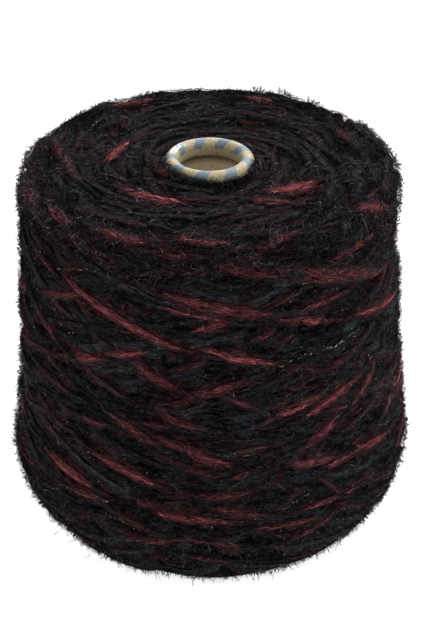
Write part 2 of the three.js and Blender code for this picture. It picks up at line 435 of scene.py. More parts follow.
def package_outline():
    """Evenly spaced points down the skin, from the bore over the face, rim, side and foot to the
    bore again: way along it, radius, height, and outward direction as radius and height."""
    r = np.linspace(face_inner, face_outer, 200)
    inwards = (face_outer - r) / (face_outer - face_inner)
    collar = NECK_COLLAR_RISE * np.exp(-(((r - face_inner) / NECK_COLLAR_REACH) ** 2))
    face = np.stack([r, PACKAGE_HEIGHT - FACE_DISH * inwards**2 + collar], 1)
    turn = np.linspace(0, np.pi / 2, 60)
    rim_radius = face_outer + RIM_REACH * np.sin(turn)
    rim = np.stack([rim_radius, PACKAGE_HEIGHT - RIM_HEIGHT * (1 - np.cos(turn))], 1)
    z = np.linspace(PACKAGE_HEIGHT - RIM_HEIGHT, FOOT_HEIGHT, 300)
    along = (z - FOOT_HEIGHT) / (PACKAGE_HEIGHT - RIM_HEIGHT - FOOT_HEIGHT)
    straight = SHOULDER_RADIUS + (TOP_RADIUS - SHOULDER_RADIUS) * along
    side = np.stack([straight - WAIST * np.sin(np.pi * along), z], 1)
    foot = np.stack([foot_inner + FOOT_REACH * np.cos(turn), FOOT_HEIGHT * (1 - np.sin(turn))], 1)
    base = np.stack([np.linspace(foot_inner, base_inner, 40), np.zeros(40)], 1)
    points = np.concatenate([face[:-1], rim[:-1], side[:-1], foot[:-1], base])
    way = np.concatenate([[0], np.cumsum(np.hypot(*np.diff(points, axis=0).T))])
    even = np.arange(0, way[-1], OUTLINE_STEP)
    radius = np.interp(even, way, points[:, 0])
    height = np.interp(even, way, points[:, 1])
    out_r = softened(-np.gradient(height), 6)
    out_z = softened(np.gradient(radius), 6)
    length = np.hypot(out_r, out_z)
    return even, radius, height, out_r / length, out_z / length


OUTLINE = package_outline()
SKIN_LENGTH = OUTLINE[0][-1]
RIM_START = face_outer - face_inner
SIDE_START = RIM_START + RIM_ARC
FOOT_START = SIDE_START + SIDE_LENGTH


def skin_radius(way):
    return np.interp(way, OUTLINE[0], OUTLINE[1])


def skin_height(way):
    return np.interp(way, OUTLINE[0], OUTLINE[2])


def way_at_height(z):
    """The way down the skin to a height on the side or the foot."""
    below_rim = OUTLINE[0] > RIM_START
    return np.interp(-np.asarray(z, float), -OUTLINE[2][below_rim], OUTLINE[0][below_rim])


def bulge_rise(azimuth, z):
    """How far the package's broad unevenness stands out or in."""
    rise = np.zeros_like(azimuth)
    for bulge in BULGES:
        row = dict(zip(BULGE_COLUMNS, bulge))
        centre = math.radians(row["azimuth"])
        apart = np.degrees(np.arctan2(np.sin(azimuth - centre), np.cos(azimuth - centre)))
        across = apart / row["spread_azimuth"]
        up = (z - row["height"]) / row["spread_height"]
        rise += row["rise"] * np.exp(-(across**2 + up**2))
    return rise


def on_skin(azimuth, way, lift):
    """Points at an azimuth and a way down the skin, lifted outwards from it, and their outward
    directions. Nothing sinks below the floor."""
    azimuth, way, lift = np.broadcast_arrays(azimuth, way, lift)
    radius = skin_radius(way) + np.minimum(way, 0)
    z = skin_height(way)
    out_r = np.interp(way, OUTLINE[0], OUTLINE[3])
    out_z = np.interp(way, OUTLINE[0], OUTLINE[4])
    off_face = np.clip((way - RIM_START) / 10, 0, 1)
    lift = lift + bulge_rise(azimuth, z) * off_face
    place = round_grid(radius + out_r * lift, np.maximum(z + out_z * lift, LOWEST_CENTRE), azimuth)
    return place, round_grid(out_r, out_z, azimuth)


# Turns are set down from the outermost inwards, so each one passes under those
# laid before it here and comes up to the skin between them. The maps hold, in
# cells about a millimetre across, the top of the yarn with its colour and
# tilt, and the room left for the next turn. Columns go round the package, and
# rows go down its skin.
MAP_COLUMNS = 560
MAP_ROWS = int(SKIN_LENGTH) + 1
SKIN_TOP = 0.9
DEEPEST = -2.5
lay_height = np.full((MAP_COLUMNS, MAP_ROWS), DEEPEST)
lay_room = np.full((MAP_COLUMNS, MAP_ROWS), SKIN_TOP + 1.5)
lay_colour = np.zeros((MAP_COLUMNS, MAP_ROWS, 3))
lay_tilt = np.zeros((MAP_COLUMNS, MAP_ROWS))
turns_laid = []


def map_cells(azimuth, way):
    """The columns and rows of the maps' cells at places on the skin."""
    column = np.floor(np.asarray(azimuth) / (2 * np.pi) * MAP_COLUMNS).astype(int) % MAP_COLUMNS
    row = np.clip(np.floor(way).astype(int), 0, MAP_ROWS - 1)
    return column, row


def follow(azimuth, way, tilts, step):
    """A path over the skin from a start, by its tilt at each step: azimuths and ways.
    A positive tilt climbs towards the right, and the way grows downwards."""
    ways = way - np.concatenate([[0], np.cumsum(np.sin(tilts[:-1]) * step)])
    ways = np.clip(ways, 1.5, SKIN_LENGTH - 3)
    moves = np.cos(tilts[:-1]) * step / skin_radius(ways[:-1])
    return azimuth + np.concatenate([[0], np.cumsum(moves)]), ways


def lowest_nearby(values, reach):
    padded = np.pad(values, reach, "edge")
    return np.min([padded[shift:shift + len(values)] for shift in range(2 * reach + 1)], axis=0)


def lay_turn(azimuth, way, tilt, half_width, thickness, colour, top, ground=None):
    """Sets down one length of yarn with its top at most at a lift, under what lies there already.
    It keeps the maps, and leaves out a turn that is buried all along. A ground colour is what the
    map gets where the yarn below should stay darker than this one, and also the turn's flanks.
    Without one, the flanks get painted shade, a share of the colour."""
    side_azimuth = np.sin(tilt) / skin_radius(way)
    side_way = np.cos(tilt)

    def cells_beside(share):
        """The cells off the middle of the turn, by a share of its half width."""
        return map_cells(
            azimuth + side_azimuth * half_width * share,
            way + side_way * half_width * share,
        )

    above = np.min([lay_room[cells_beside(share)] for share in (-0.7, -0.3, 0.3, 0.7)], axis=0)
    room = softened(lowest_nearby(above, 2), 4)
    lift = np.minimum(room, top) - 0.5 * thickness
    if (lift + 0.5 * thickness).max() < DEEPEST + 0.5:
        return
    for share in np.linspace(-1, 1, 13):
        bulge = math.sqrt(max(0.0, 1 - share * share))
        surface = lift + 0.5 * thickness * bulge
        underside = lift - 0.2 * thickness * bulge
        cells = cells_beside(share)
        lay_room[cells] = np.minimum(lay_room[cells], underside)
        higher = surface > lay_height[cells]
        higher_cells = (cells[0][higher], cells[1][higher])
        lay_height[higher_cells] = surface[higher]
        lay_colour[higher_cells] = (colour if ground is None else ground)[higher]
        lay_tilt[higher_cells] = tilt[higher]
    turns_laid.append({
        "azimuth": azimuth,
        "way": way,
        "lift": lift,
        "half_width": half_width,
        "thickness": thickness,
        "colour": colour,
        "edge": FLANK_PAINTED_SHADE * colour if ground is None else ground,
        "side": (side_azimuth, side_way),
    })


# Yarn colours, as linear red, green and blue. The ground is black, and the
# yarn drifts through charcoal, green-grey, maroon and umber, with slubs of red.
BLACK = np.array((0.0040, 0.0030, 0.0052))
CHARCOAL = np.array((0.0125, 0.0112, 0.0150))
GREEN_GREY = np.array((0.0150, 0.0220, 0.0245))
MAROON = np.array((0.0300, 0.0080, 0.0105))
UMBER = np.array((0.0200, 0.0112, 0.0098))
FACE_GROUND = np.array((0.0120, 0.0105, 0.0128))
SLUB_COLOURS = {
    "bright": np.array((0.300, 0.072, 0.078)),
    "red": np.array((0.190, 0.046, 0.050)),
    "dull": np.array((0.100, 0.031, 0.034)),
    "brown": np.array((0.115, 0.054, 0.044)),
    "green": np.array((0.030, 0.052, 0.056)),
    # soot is no dye: it is near black, for lines of painted shadow between turns.
    "soot": np.array((0.002, 0.002, 0.0025)),
}
DRIFT_SHADES = np.array((BLACK, CHARCOAL, GREEN_GREY, MAROON, UMBER))
DRIFT_SHARES = (0.55, 0.10, 0.12, 0.16, 0.07)
DRIFT_LENGTH = 45
LAY_STEP = 1.0
TURN_HALF_WIDTH = 1.8
TURN_THICKNESS = 1.4
# Flanks of a turn are darkened to this share of its colour, as painted shade between the turns.
FLANK_PAINTED_SHADE = 0.38
# On each stroke the yarn eases to its new tilt, by this share of what is left at each step.
TURN_BACK_EASE = 0.09
WINDING_START = SIDE_START + 60
TURN_BACK_AT_RIM = (RIM_START - 3, RIM_START + 10)
TURN_BACK_AT_FOOT = (FOOT_START + 12, FOOT_START + 40)


def drifting_colour(random, count, calm=0.0):
    """Ground colour along a length of yarn: it holds for a few centimetres, then eases to another."""
    knots = max(2, int(count * LAY_STEP / DRIFT_LENGTH) + 2)
    shades = DRIFT_SHADES[random.choice(len(DRIFT_SHADES), knots, p=DRIFT_SHARES)]
    places = np.cumsum(random.uniform(0.4, 1.6, knots)) * DRIFT_LENGTH / LAY_STEP
    places = (places - places[0]) * count / (places[-1] - places[0])
    steps = np.arange(count)
    drift = np.stack([np.interp(steps, places, shades[:, channel]) for channel in range(3)], 1)
    return drift * (1 - calm) + FACE_GROUND * calm


def slow_waver(random, count, wavelength, depth):
    """A slow random change along a length of yarn, about nought."""
    knots = int(count * LAY_STEP / wavelength) + 3
    places = np.arange(knots) * wavelength / LAY_STEP
    return np.interp(np.arange(count), places, random.normal(0, depth, knots))


def wind_strokes(random, strokes):
    """One continuous yarn, to and fro. It turns back softly near the rim and on the foot."""
    azimuth = 0.0
    way = WINDING_START
    tilt = aim = WINDING_ANGLE
    turn_back = RIM_START + 3
    path = [(azimuth, way, tilt)]
    done = 0
    while done < strokes:
        tilt += (aim - tilt) * TURN_BACK_EASE
        azimuth += math.cos(tilt) * LAY_STEP / float(skin_radius(way))
        way -= math.sin(tilt) * LAY_STEP
        path.append((azimuth, way, tilt))
        if (aim > 0 and way < turn_back) or (aim < 0 and way > turn_back):
            done += 1
            goes_down = aim > 0
            aim = -math.copysign(WINDING_ANGLE * random.uniform(0.85, 1.15), aim)
            turn_back = random.uniform(*(TURN_BACK_AT_FOOT if goes_down else TURN_BACK_AT_RIM))
            azimuths, ways, tilts = np.array(path).T
            count = len(path)
            swell = slow_waver(random, count, 16, 0.14)
            half_width = TURN_HALF_WIDTH * random.uniform(0.75, 1.2) * np.clip(1 + swell, 0.6, 1.5)
            thickness = TURN_THICKNESS * np.clip(1 + 1.2 * swell, 0.6, 1.6)
            ways = ways + softened(slow_waver(random, count, 28, 0.8), 8)
            top = SKIN_TOP + softened(slow_waver(random, count, 25, 0.35), 8) - random.uniform(0, 0.5)
            colour = drifting_colour(random, count)
            lay_turn(azimuths, ways, tilts, half_width, thickness, colour, top)
            path = path[-1:]


def arc_turns(random, count, way_range, length_range, thickness, dip, calm):
    """Short stretches that show on an end face, where turns come up out of it and dip in again.
    They are laid from the rim inwards, evenly over the face's area."""
    on_top = way_range[0] < RIM_START
    areas = np.sort(random.uniform(0, 1, count))
    near, far = skin_radius(way_range[0]), skin_radius(way_range[1])
    radii = np.sqrt(near**2 + (far**2 - near**2) * areas)
    from_near = np.abs(np.linspace(near, far, 50) - near)
    starts = np.interp(np.abs(radii - near), from_near, np.linspace(*way_range, 50))
    for way in starts[::-1] if on_top else starts:
        steps = int(random.uniform(*length_range) / LAY_STEP)
        curve = random.normal(0, math.radians(10))
        bend = np.linspace(-1, 1, steps) * curve + random.normal(0, math.radians(9))
        azimuths, ways = follow(random.uniform(0, 2 * np.pi), way, bend, LAY_STEP)
        across = np.linspace(-1, 1, steps)
        half_width = TURN_HALF_WIDTH * random.uniform(0.7, 1.15) * (1 - 0.25 * across**2)
        heavy = thickness * random.uniform(0.8, 1.2) * np.ones(steps)
        top = SKIN_TOP - 0.2 - thickness * random.uniform(0, 0.6) - dip * across**2
        colour = drifting_colour(random, steps, calm)
        # Painted shade: the flanks of a short stretch and the map under it are darker, less so on the calm
        # face.
        ground = (FLANK_PAINTED_SHADE + calm * 0.7) * colour
        lay_turn(azimuths, ways, bend, half_width, heavy, colour, top, ground)


# Slubs, measured on the photograph. Place is a height on the side and a radius
# on the face; tilt is positive where a slub climbs to the right; shade is a
# key of SLUB_COLOURS; and fill is how solid its colour is.
SLUB_COLUMNS = ("azimuth", "place", "length", "width", "tilt", "shade", "fill")
SIDE_SLUBS = (
    (-26, 135, 50, 3.4, -20, "bright", 0.95),
    (-46, 136, 21, 2.6, 18, "red", 0.8),
    (-56, 146, 14, 3.0, -12, "dull", 0.6),
    (-55, 117, 18, 3.0, -25, "red", 0.6),
    (2, 144, 40, 4.6, -14, "red", 0.9),
    (-4, 141, 24, 1.6, -15, "bright", 0.7),
    (3, 137, 18, 3.0, 18, "bright", 0.8),
    (10, 159, 22, 3.6, -11, "red", 0.7),
    (37, 149, 62, 6.0, -16, "red", 0.75),
    (45, 157, 22, 3.0, 6, "red", 0.6),
    (33, 139, 14, 2.4, 6, "red", 0.7),
    (59, 122, 35, 3.0, -11, "bright", 0.8),
    (73, 158, 8, 3.8, -20, "bright", 0.9),
    (30, 132, 32, 3.2, -18, "bright", 0.9),
    (-64, 100, 28, 3.6, 17, "dull", 0.6),
    (-52, 93, 21, 3.2, -5, "dull", 0.6),
    (-50, 101, 12, 2.6, -19, "brown", 0.6),
    (-42, 110, 28, 4.4, 16, "bright", 0.95),
    (-24, 120, 18, 3.2, 21, "bright", 0.9),
    (-33, 105, 22, 2.0, -21, "brown", 0.8),
    (-17, 113, 22, 4.2, -22, "red", 0.7),
    (6, 122, 31, 2.8, -16, "bright", 0.95),
    (-4, 119, 13, 2.6, 20, "dull", 0.7),
    (1, 107, 19, 3.8, 18, "red", 0.85),
    (9, 101, 7, 2.6, -30, "red", 0.7),
    (-11, 94, 21, 3.4, -17, "red", 0.8),
    (-22, 86, 18, 4.0, -23, "red", 0.75),
    (-34, 84, 9, 2.6, 2, "red", 0.6),
    (-15, 90, 7, 2.4, 2, "red", 0.6),
    (24, 94, 21, 3.0, 17, "bright", 0.95),
    (37, 93, 24, 3.2, 17, "bright", 0.9),
    (50, 97, 15, 2.6, 8, "red", 0.8),
    (15, 130, 8, 2.4, 24, "red", 0.7),
    (30, 110, 8, 2.2, -21, "dull", 0.7),
    (51, 91, 18, 3.0, 33, "red", 0.6),
    (39, 87, 9, 2.4, -14, "dull", 0.7),
    (35, 80, 14, 3.0, 24, "bright", 0.85),
    (19, 98, 9, 2.4, 12, "dull", 0.7),
    (-43, 55, 23, 4.2, -8, "bright", 0.95),
    (-37, 48, 15, 3.2, 8, "red", 0.6),
    (-24, 66, 24, 3.4, -16, "bright", 0.9),
    (-22, 51, 18, 3.0, 10, "red", 0.7),
    (-21, 42, 11, 2.8, -14, "dull", 0.7),
    (-11, 36, 26, 3.4, 3, "red", 0.7),
    (-9, 80, 42, 5.0, -17, "red", 0.85),
    (-20, 63, 8, 2.6, -16, "red", 0.7),
    (11, 79, 12, 2.8, 8, "dull", 0.7),
    (11, 68, 10, 2.6, 9, "red", 0.7),
    (5, 59, 14, 3.0, 6, "red", 0.7),
    (-14, 53, 16, 3.0, 18, "red", 0.8),
    (-5, 48, 27, 3.4, -4, "bright", 0.85),
    (7, 51, 14, 3.4, -17, "red", 0.6),
    (2, 36, 15, 2.0, -11, "red", 0.6),
    (0, 27, 13, 2.8, -12, "dull", 0.6),
    (28, 75, 25, 3.4, 18, "bright", 0.9),
    (29, 67, 24, 3.0, -12, "red", 0.85),
    (48, 61, 36, 3.4, -9, "bright", 0.85),
    (35, 53, 10, 2.4, -49, "dull", 0.7),
    (36, 46, 25, 2.2, -2, "red", 0.7),
    (47, 46, 11, 2.2, -7, "red", 0.6),
    (28, 35, 17, 2.2, 14, "red", 0.7),
    (21, 41, 22, 2.2, -6, "red", 0.6),
    (43, 36, 9, 2.2, -20, "dull", 0.6),
    (4, 63, 28, 3.6, 11, "green", 0.9),
    (47, 122, 19, 4.0, -4, "green", 0.9),
    # The last three rows are no slubs but dark lines of painted shadow between turns.
    (-30, 94, 66, 2.0, 16, "soot", 1.0),
    (4, 111, 40, 2.0, 22, "soot", 1.0),
    (26, 120, 28, 2.0, 10, "soot", 1.0),
)
FACE_SLUBS = (
    (-28, 73, 20, 4.5, -3, "bright", 0.85),
    (-3, 69.5, 17, 4.2, -5, "bright", 0.95),
    (-10, 76, 12, 3.6, -2, "red", 0.7),
    (-16, 69, 8, 3.4, 3, "dull", 0.7),
    (-24, 73, 12, 6.0, 5, "dull", 0.7),
    (21, 72, 15, 4.0, 13, "red", 0.7),
    (24, 69, 9, 4.0, -20, "red", 0.8),
    (-104, 41, 17, 4.8, -7, "bright", 0.8),
    (-149, 68, 16, 4.4, -9, "bright", 0.85),
    (-36, 40, 22, 6.0, 12, "bright", 0.95),
    (-53, 41, 12, 4.8, 10, "dull", 0.8),
    (-83, 58, 20, 4.6, 10, "brown", 0.95),
    (-100, 65, 10, 3.6, 18, "red", 0.7),
    (-70, 76.5, 18, 4.8, 0, "red", 0.85),
    (-52, 74, 9, 5.0, 5, "bright", 0.9),
    (55, 41, 17, 8.5, -34, "bright", 0.95),
    (34, 42.6, 11, 4.6, -46, "red", 0.9),
    (59, 75, 13, 5.0, -24, "bright", 0.9),
    (160, 66, 9, 5.0, -4, "bright", 0.8),
    (112, 63, 8, 4.2, 6, "red", 0.8),
    (-70, 21.5, 9, 4.2, 5, "red", 0.9),
)
SLUB_LEAD = 18
SLUB_LEAD_HALF_WIDTH = 1.1
SLUB_NARROWING = 0.62
SLUB_BODY_SHADE = 0.44
HIDDEN_SLUBS = 90
HIDDEN_SHADES = {"bright": 0.27, "red": 0.38, "dull": 0.2, "brown": 0.1, "green": 0.05}
slub_runs = []


def lay_slub(random, row):
    """One slub: a soft spindle of coloured fibre spun into the yarn, with its yarn each side."""
    slub = dict(zip(SLUB_COLUMNS, row))
    steps = int((slub["length"] + 2 * SLUB_LEAD) / LAY_STEP)
    centre = slub["place"]
    tilts = math.radians(slub["tilt"]) + softened(slow_waver(random, steps, 18, 0.05), 6)
    half = steps // 2
    azimuth = math.radians(slub["azimuth"])
    after = follow(azimuth, centre, tilts[half:], LAY_STEP)
    before = follow(-azimuth, centre, -tilts[half::-1], LAY_STEP)
    azimuths = np.concatenate([-before[0][:0:-1], after[0]])
    ways = np.concatenate([before[1][:0:-1], after[1]])
    tilts = np.concatenate([tilts[half:0:-1][::-1], tilts[half:]])[:len(ways)]
    distance = (np.arange(len(ways)) - half) * LAY_STEP / (slub["length"] / 2)
    spindle = np.clip(1.15 - np.abs(distance) ** 2.2, 0, 1)
    tone = SLUB_COLOURS[slub["shade"]]
    ground = drifting_colour(random, len(ways)) * 0.6
    patchy = np.clip(1 + slow_waver(random, len(ways), 5, 0.18), 0.5, 1.3)
    fill = (slub["fill"] * spindle * patchy)[:, None]
    colour = ground * (1 - np.clip(fill, 0, 1)) + SLUB_BODY_SHADE * tone * fill
    widening = SLUB_NARROWING * slub["width"] - SLUB_LEAD_HALF_WIDTH
    half_width = SLUB_LEAD_HALF_WIDTH + widening * np.clip(spindle * 1.2, 0, 1)
    ends = np.clip((1 - np.abs(np.linspace(-1, 1, len(ways)))) * 3, 0, 1)
    top = SKIN_TOP + 0.2 * spindle - 2.2 * (1 - ends)
    muted = ground + 0.3 * (colour - ground)
    already_laid = len(turns_laid)
    narrowed = half_width * (0.4 + 0.6 * ends)
    lay_turn(azimuths, ways, tilts, narrowed, 0.7 + 0.4 * half_width, colour, top, muted)
    # Lines of painted shadow get no fibres.
    if slub["shade"] != "soot" and len(turns_laid) > already_laid:
        slub_runs.append((slub, turns_laid[-1], spindle))


def hidden_slubs(random, count):
    """Slubs of the same kinds on the side that the photograph doesn't show."""
    rows = []
    for shade in random.choice(list(HIDDEN_SHADES), count, p=list(HIDDEN_SHADES.values())):
        rows.append((
            random.uniform(72, 288),
            random.uniform(22, 160),
            random.lognormal(math.log(18), 0.4),
            random.uniform(2.2, 4.4),
            random.choice((-1, 1)) * random.normal(16, 5),
            shade,
            random.uniform(0.6, 0.95),
        ))
    return rows


random = np.random.default_rng(7)
for slub_row in FACE_SLUBS:
    reach = slub_row[1]
    face_way = reach - face_inner if reach < face_outer else RIM_START + (reach - face_outer) * 1.3
    lay_slub(random, (slub_row[0], face_way) + slub_row[2:])
for slub_row in list(SIDE_SLUBS) + hidden_slubs(random, HIDDEN_SLUBS):
    lay_slub(random, (slub_row[0], float(way_at_height(slub_row[1]))) + slub_row[2:])
wind_strokes(random, strokes=420)
arc_turns(
    random, count=560, way_range=(3, RIM_START + 4), length_range=(22, 50), thickness=0.5, dip=0.6, calm=0.6
)
arc_turns(
    random,
    count=420,
    way_range=(FOOT_START + 16, SKIN_LENGTH - 4),
    length_range=(45, 90),
    thickness=1.2,
    dip=1.3,
    calm=0.0,
)
relief = lay_height


def relief_at(azimuth, way, grid):
    """A map of relief, read smoothly between its cells."""
    column = np.asarray(azimuth) / (2 * np.pi) * MAP_COLUMNS - 0.5
    row = np.clip(np.asarray(way) - 0.5, 0, MAP_ROWS - 1.001)
    left = np.floor(column).astype(int)
    upper = np.floor(row).astype(int)
    over = column - left
    down = row - upper
    right = (left + 1) % MAP_COLUMNS
    left = left % MAP_COLUMNS
    lower = np.minimum(upper + 1, MAP_ROWS - 1)
    return (
        (grid[left, upper] * (1 - over) + grid[right, upper] * over) * (1 - down)
        + (grid[left, lower] * (1 - over) + grid[right, lower] * over) * down
    )


def spread_over_map(grid, passes):
    """Softens a map, round the package and down its skin."""
    for _ in range(passes):
        grid = (np.roll(grid, 1, 0) + 2 * grid + np.roll(grid, -1, 0)) / 4
        padded = np.concatenate([grid[:, :1], grid, grid[:, -1:]], axis=1)
        grid = (padded[:, :-2] + 2 * grid + padded[:, 2:]) / 4
    return grid


def highest_nearby(grid, passes):
    """Widens the crests of a map by a cell each way at each pass."""
    for _ in range(passes):
        padded = np.pad(grid, ((0, 0), (1, 1)), "edge")
        beside = np.maximum(np.roll(grid, 1, 0), np.roll(grid, -1, 0))
        grid = np.maximum(np.maximum(grid, beside), np.maximum(padded[:, :-2], padded[:, 2:]))
    return grid


# Haze floats between the softened yarn and its crests, by this share of the rise to the crests.
CREST_SHARE_ON_FACE = 0.75
CREST_SHARE_ON_SIDE = 0.45
soft_relief = spread_over_map(relief, 3)
crest_relief = spread_over_map(highest_nearby(relief, 3), 5)
crest_share = np.interp(
    np.arange(MAP_ROWS), (RIM_START, SIDE_START + 10), (CREST_SHARE_ON_FACE, CREST_SHARE_ON_SIDE)
)
haze_relief = (1 - crest_share) * soft_relief + crest_share * crest_relief


def tangled_fibre_group():
    """Fibres at the surface of the yarn. Lay runs along the yarn in its first two values and across
    it in the third, in millimetres. Out come the combed streaks, where painted light and shade go,
    single pale hairs, the dark gaps between hairs, where painted shade goes, and a height."""
    group, make, source, result = new_group(
        "tangled_fibres",
        [
            ("Lay", "INPUT", "NodeSocketVector"),
            ("Streak", "OUTPUT", "NodeSocketFloat"),
            ("Hair", "OUTPUT", "NodeSocketFloat"),
            ("Gap", "OUTPUT", "NodeSocketFloat"),
            ("Height", "OUTPUT", "NodeSocketFloat"),
        ],
    )
    lay = source.outputs["Lay"]

    def stretched_noise(place, along, across, **settings):
        """Noise that is drawn out where its scale along or across the yarn is small."""
        scales = (along, along, across)
        stretched = make("ShaderNodeVectorMath", {"operation": "MULTIPLY"}, i0=place, i1=scales)
        return make("ShaderNodeTexNoise", Vector=stretched.outputs[0], Scale=1.0, **settings)

    def thin_lines(noise, width):
        """Curling lines, where a noise passes through its middle."""
        off_middle = math_node(make, "ABSOLUTE", math_node(make, "SUBTRACT", noise, 0.5))
        return make("ShaderNodeMapRange", i0=off_middle, i1=width, i2=0.0).outputs[0]

    streaks = stretched_noise(lay, 0.26, 1.8, Detail=3.0, Roughness=0.7).outputs["Fac"]
    streak = make("ShaderNodeMapRange", i0=streaks, i1=0.42, i2=0.58)
    sway = stretched_noise(lay, 0.45, 0.45, Detail=2.0).outputs["Color"]
    centred = make("ShaderNodeVectorMath", {"operation": "SUBTRACT"}, i0=sway, i1=(0.5, 0.5, 0.5))
    swayed = make(
        "ShaderNodeVectorMath", {"operation": "MULTIPLY_ADD"}, i0=centred.outputs[0], i1=(6, 6, 3.5), i2=lay
    ).outputs[0]
    fine = stretched_noise(swayed, 0.5, 1.4, Detail=2.0).outputs["Fac"]
    crossing = stretched_noise(swayed, 0.7, 0.85, Detail=2.0).outputs["Fac"]
    comes_and_goes = stretched_noise(lay, 0.3, 0.7, Detail=2.0).outputs["Fac"]
    gate = make("ShaderNodeMapRange", i0=comes_and_goes, i1=0.36, i2=0.62)
    hairs = math_node(make, "MAXIMUM", thin_lines(fine, 0.05), thin_lines(crossing, 0.03))
    hair = math_node(make, "MULTIPLY", hairs, gate.outputs[0])
    pits = stretched_noise(swayed, 0.8, 2.2, Detail=2.0, Roughness=0.7).outputs["Fac"]
    gap = make("ShaderNodeMapRange", i0=pits, i1=0.44, i2=0.6)
    pitted = math_node(make, "MULTIPLY_ADD", hairs, 0.35, math_node(make, "MULTIPLY", pits, -0.6))
    height = math_node(make, "MULTIPLY_ADD", streaks, 0.5, pitted)
    group.links.new(streak.outputs[0], result.inputs["Streak"])
    group.links.new(hair, result.inputs["Hair"])
    group.links.new(gap.outputs[0], result.inputs["Gap"])
    group.links.new(height, result.inputs["Height"])
    return group


tangled_fibres = tangled_fibre_group()
# The dye is multiplied by the shadow between fibres, and by the light on the combed ones.
FIBRE_SHADOW = (0.035, 0.035, 0.04, 1)
FIBRE_LIGHT = 2.8
# Single paler hairs, partly the fibres' own colour and partly painted sheen on dark hairs.
PALE_FIBRE_AND_SHEEN = (0.060, 0.061, 0.062, 1)


def make_yarn(name, depth):
    """Brushed acrylic: dye in streaks of painted light and shade, broken by dark gaps of painted
    shade and crossed by single paler hairs, partly painted sheen, matt.
    """
    material, make, shader = new_material(name)
    lay = make("ShaderNodeAttribute", {"attribute_name": "lay"}).outputs["Vector"]
    dye = make("ShaderNodeAttribute", {"attribute_name": "dye"}).outputs["Color"]
    fibres = make("ShaderNodeGroup", {"node_tree": tangled_fibres}, Lay=lay)
    multiplied = {"data_type": "RGBA", "blend_type": "MULTIPLY"}
    shaded = make("ShaderNodeMix", multiplied, i0=1.0, i6=dye, i7=FIBRE_SHADOW).outputs[2]
    lit = make("ShaderNodeVectorMath", {"operation": "SCALE"}, i0=dye, Scale=FIBRE_LIGHT)
    # Painted light and shade: the streaks switch the dye between its lit and its shaded copy, and the gaps
    # take the shaded one.
    combed = blend_colours(make, fibres.outputs["Streak"], shaded, lit.outputs[0])
    gaps = math_node(make, "MULTIPLY", fibres.outputs["Gap"], 0.95)
    hairs = math_node(make, "MULTIPLY", fibres.outputs["Hair"], 0.75)
    colour = blend_colours(make, hairs, blend_colours(make, gaps, combed, shaded), PALE_FIBRE_AND_SHEEN)
    connect(material, colour, shader, "Base Color")
    rough = make("ShaderNodeMapRange", i0=fibres.outputs["Streak"], i3=0.95, i4=0.75)
    connect(material, rough.outputs[0], shader, "Roughness")
    bump = make("ShaderNodeBump", Strength=0.8, Distance=depth, Height=fibres.outputs["Height"])
    connect(material, bump.outputs[0], shader, "Normal")
    shader.inputs["Specular IOR Level"].default_value = 0.02
    return material


wound_yarn_material = make_yarn("brushed_yarn", 0.0008)

CORE_COLUMNS = 240
CORE_ROW_STEP = 2.2
CORE_SINK = 0.35
BORE_CLEARANCE = 0.15
BORE_ROWS = 9
MEAN_RADIUS = 60


def make_core():
    """The skin with the softened relief of the turns, a little under them, and the plain bore."""
    ways = np.linspace(0, SKIN_LENGTH, int(SKIN_LENGTH / CORE_ROW_STEP))
    azimuth = 2 * np.pi * np.arange(CORE_COLUMNS) / CORE_COLUMNS
    angles, rows = np.meshgrid(azimuth, ways, indexing="ij")
    ends = np.clip(np.minimum(rows, SKIN_LENGTH - rows) / 4, 0, 1)
    lift = relief_at(angles, rows, soft_relief) * ends - CORE_SINK
    skin, _ = on_skin(angles, rows, lift)
    bore_heights = np.linspace(0.3, PACKAGE_HEIGHT - 3, BORE_ROWS)
    bore = round_grid(cone_outside(bore_heights) + BORE_CLEARANCE, bore_heights, azimuth[:, None])
    corners = np.concatenate([skin, bore], axis=1)
    columns, total_rows = corners.shape[:2]
    column, row = map_cells(angles, rows)
    dye = np.ones((columns, total_rows, 4)) * np.append(BLACK, 1)
    dye[:, :len(ways), :3] = lay_colour[column, row]
    lay = np.zeros((columns, total_rows, 3))
    lay[:, :len(ways)] = np.stack([MEAN_RADIUS * np.sin(angles), MEAN_RADIUS * np.cos(angles), rows], -1)
    triangles = grid_triangles(columns, total_rows)
    layers = {"dye": dye, "lay": lay}
    return piece_from_arrays("wound_body", corners.reshape(-1, 3), triangles, wound_yarn_material, layers)


wound_body = make_core()
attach(wound_body, "root")
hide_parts("wound_yarn")


# Top turns
# The outermost lengths of the wound yarn, each a soft flattened strand that
# swells and thins, lying over and under its neighbours as it was laid.
SECTION_ANGLES = np.radians((0, 60, 120, 180, 270))
SECTION_SIDES = len(SECTION_ANGLES)
MESH_STEP = 5
STRAND_SINK = 0.05
STRAND_TIP = 2.0
STRAND_TIP_DROP = 0.3
LOWEST_STRAND = 0.1
FACE_CURL = 2.4
TRIANGLE_LIMIT = 190000


def visible_runs(turn):
    """The stretches of a laid turn that are not buried, as (start, stop) steps."""
    side_azimuth, side_way = turn["side"]
    top = turn["lift"] + 0.5 * turn["thickness"]
    shown = np.zeros(len(top), bool)
    for share in (-0.6, 0, 0.6):
        cells = map_cells(
            turn["azimuth"] + side_azimuth * turn["half_width"] * share,
            turn["way"] + side_way * turn["half_width"] * share,
        )
        shown |= top - (0.0 if share == 0 else 0.1) * turn["thickness"] > relief[cells] - 0.2
    shown = np.convolve(shown, np.ones(9), "same") > 0
    edges = np.flatnonzero(np.diff(np.concatenate([[0], shown.astype(int), [0]])))
    return [(a, b) for a, b in zip(edges[::2], edges[1::2]) if b - a >= 3 * MESH_STEP]


def path_directions(centre, outwards):
    """Forward and sideways unit directions at the points of paths that lie on the skin."""
    forward = np.gradient(centre, axis=-2)
    forward /= np.linalg.norm(forward, axis=-1, keepdims=True) + 1e-9
    sideways = np.cross(outwards, forward)
    sideways /= np.linalg.norm(sideways, axis=-1, keepdims=True) + 1e-9
    return forward, sideways


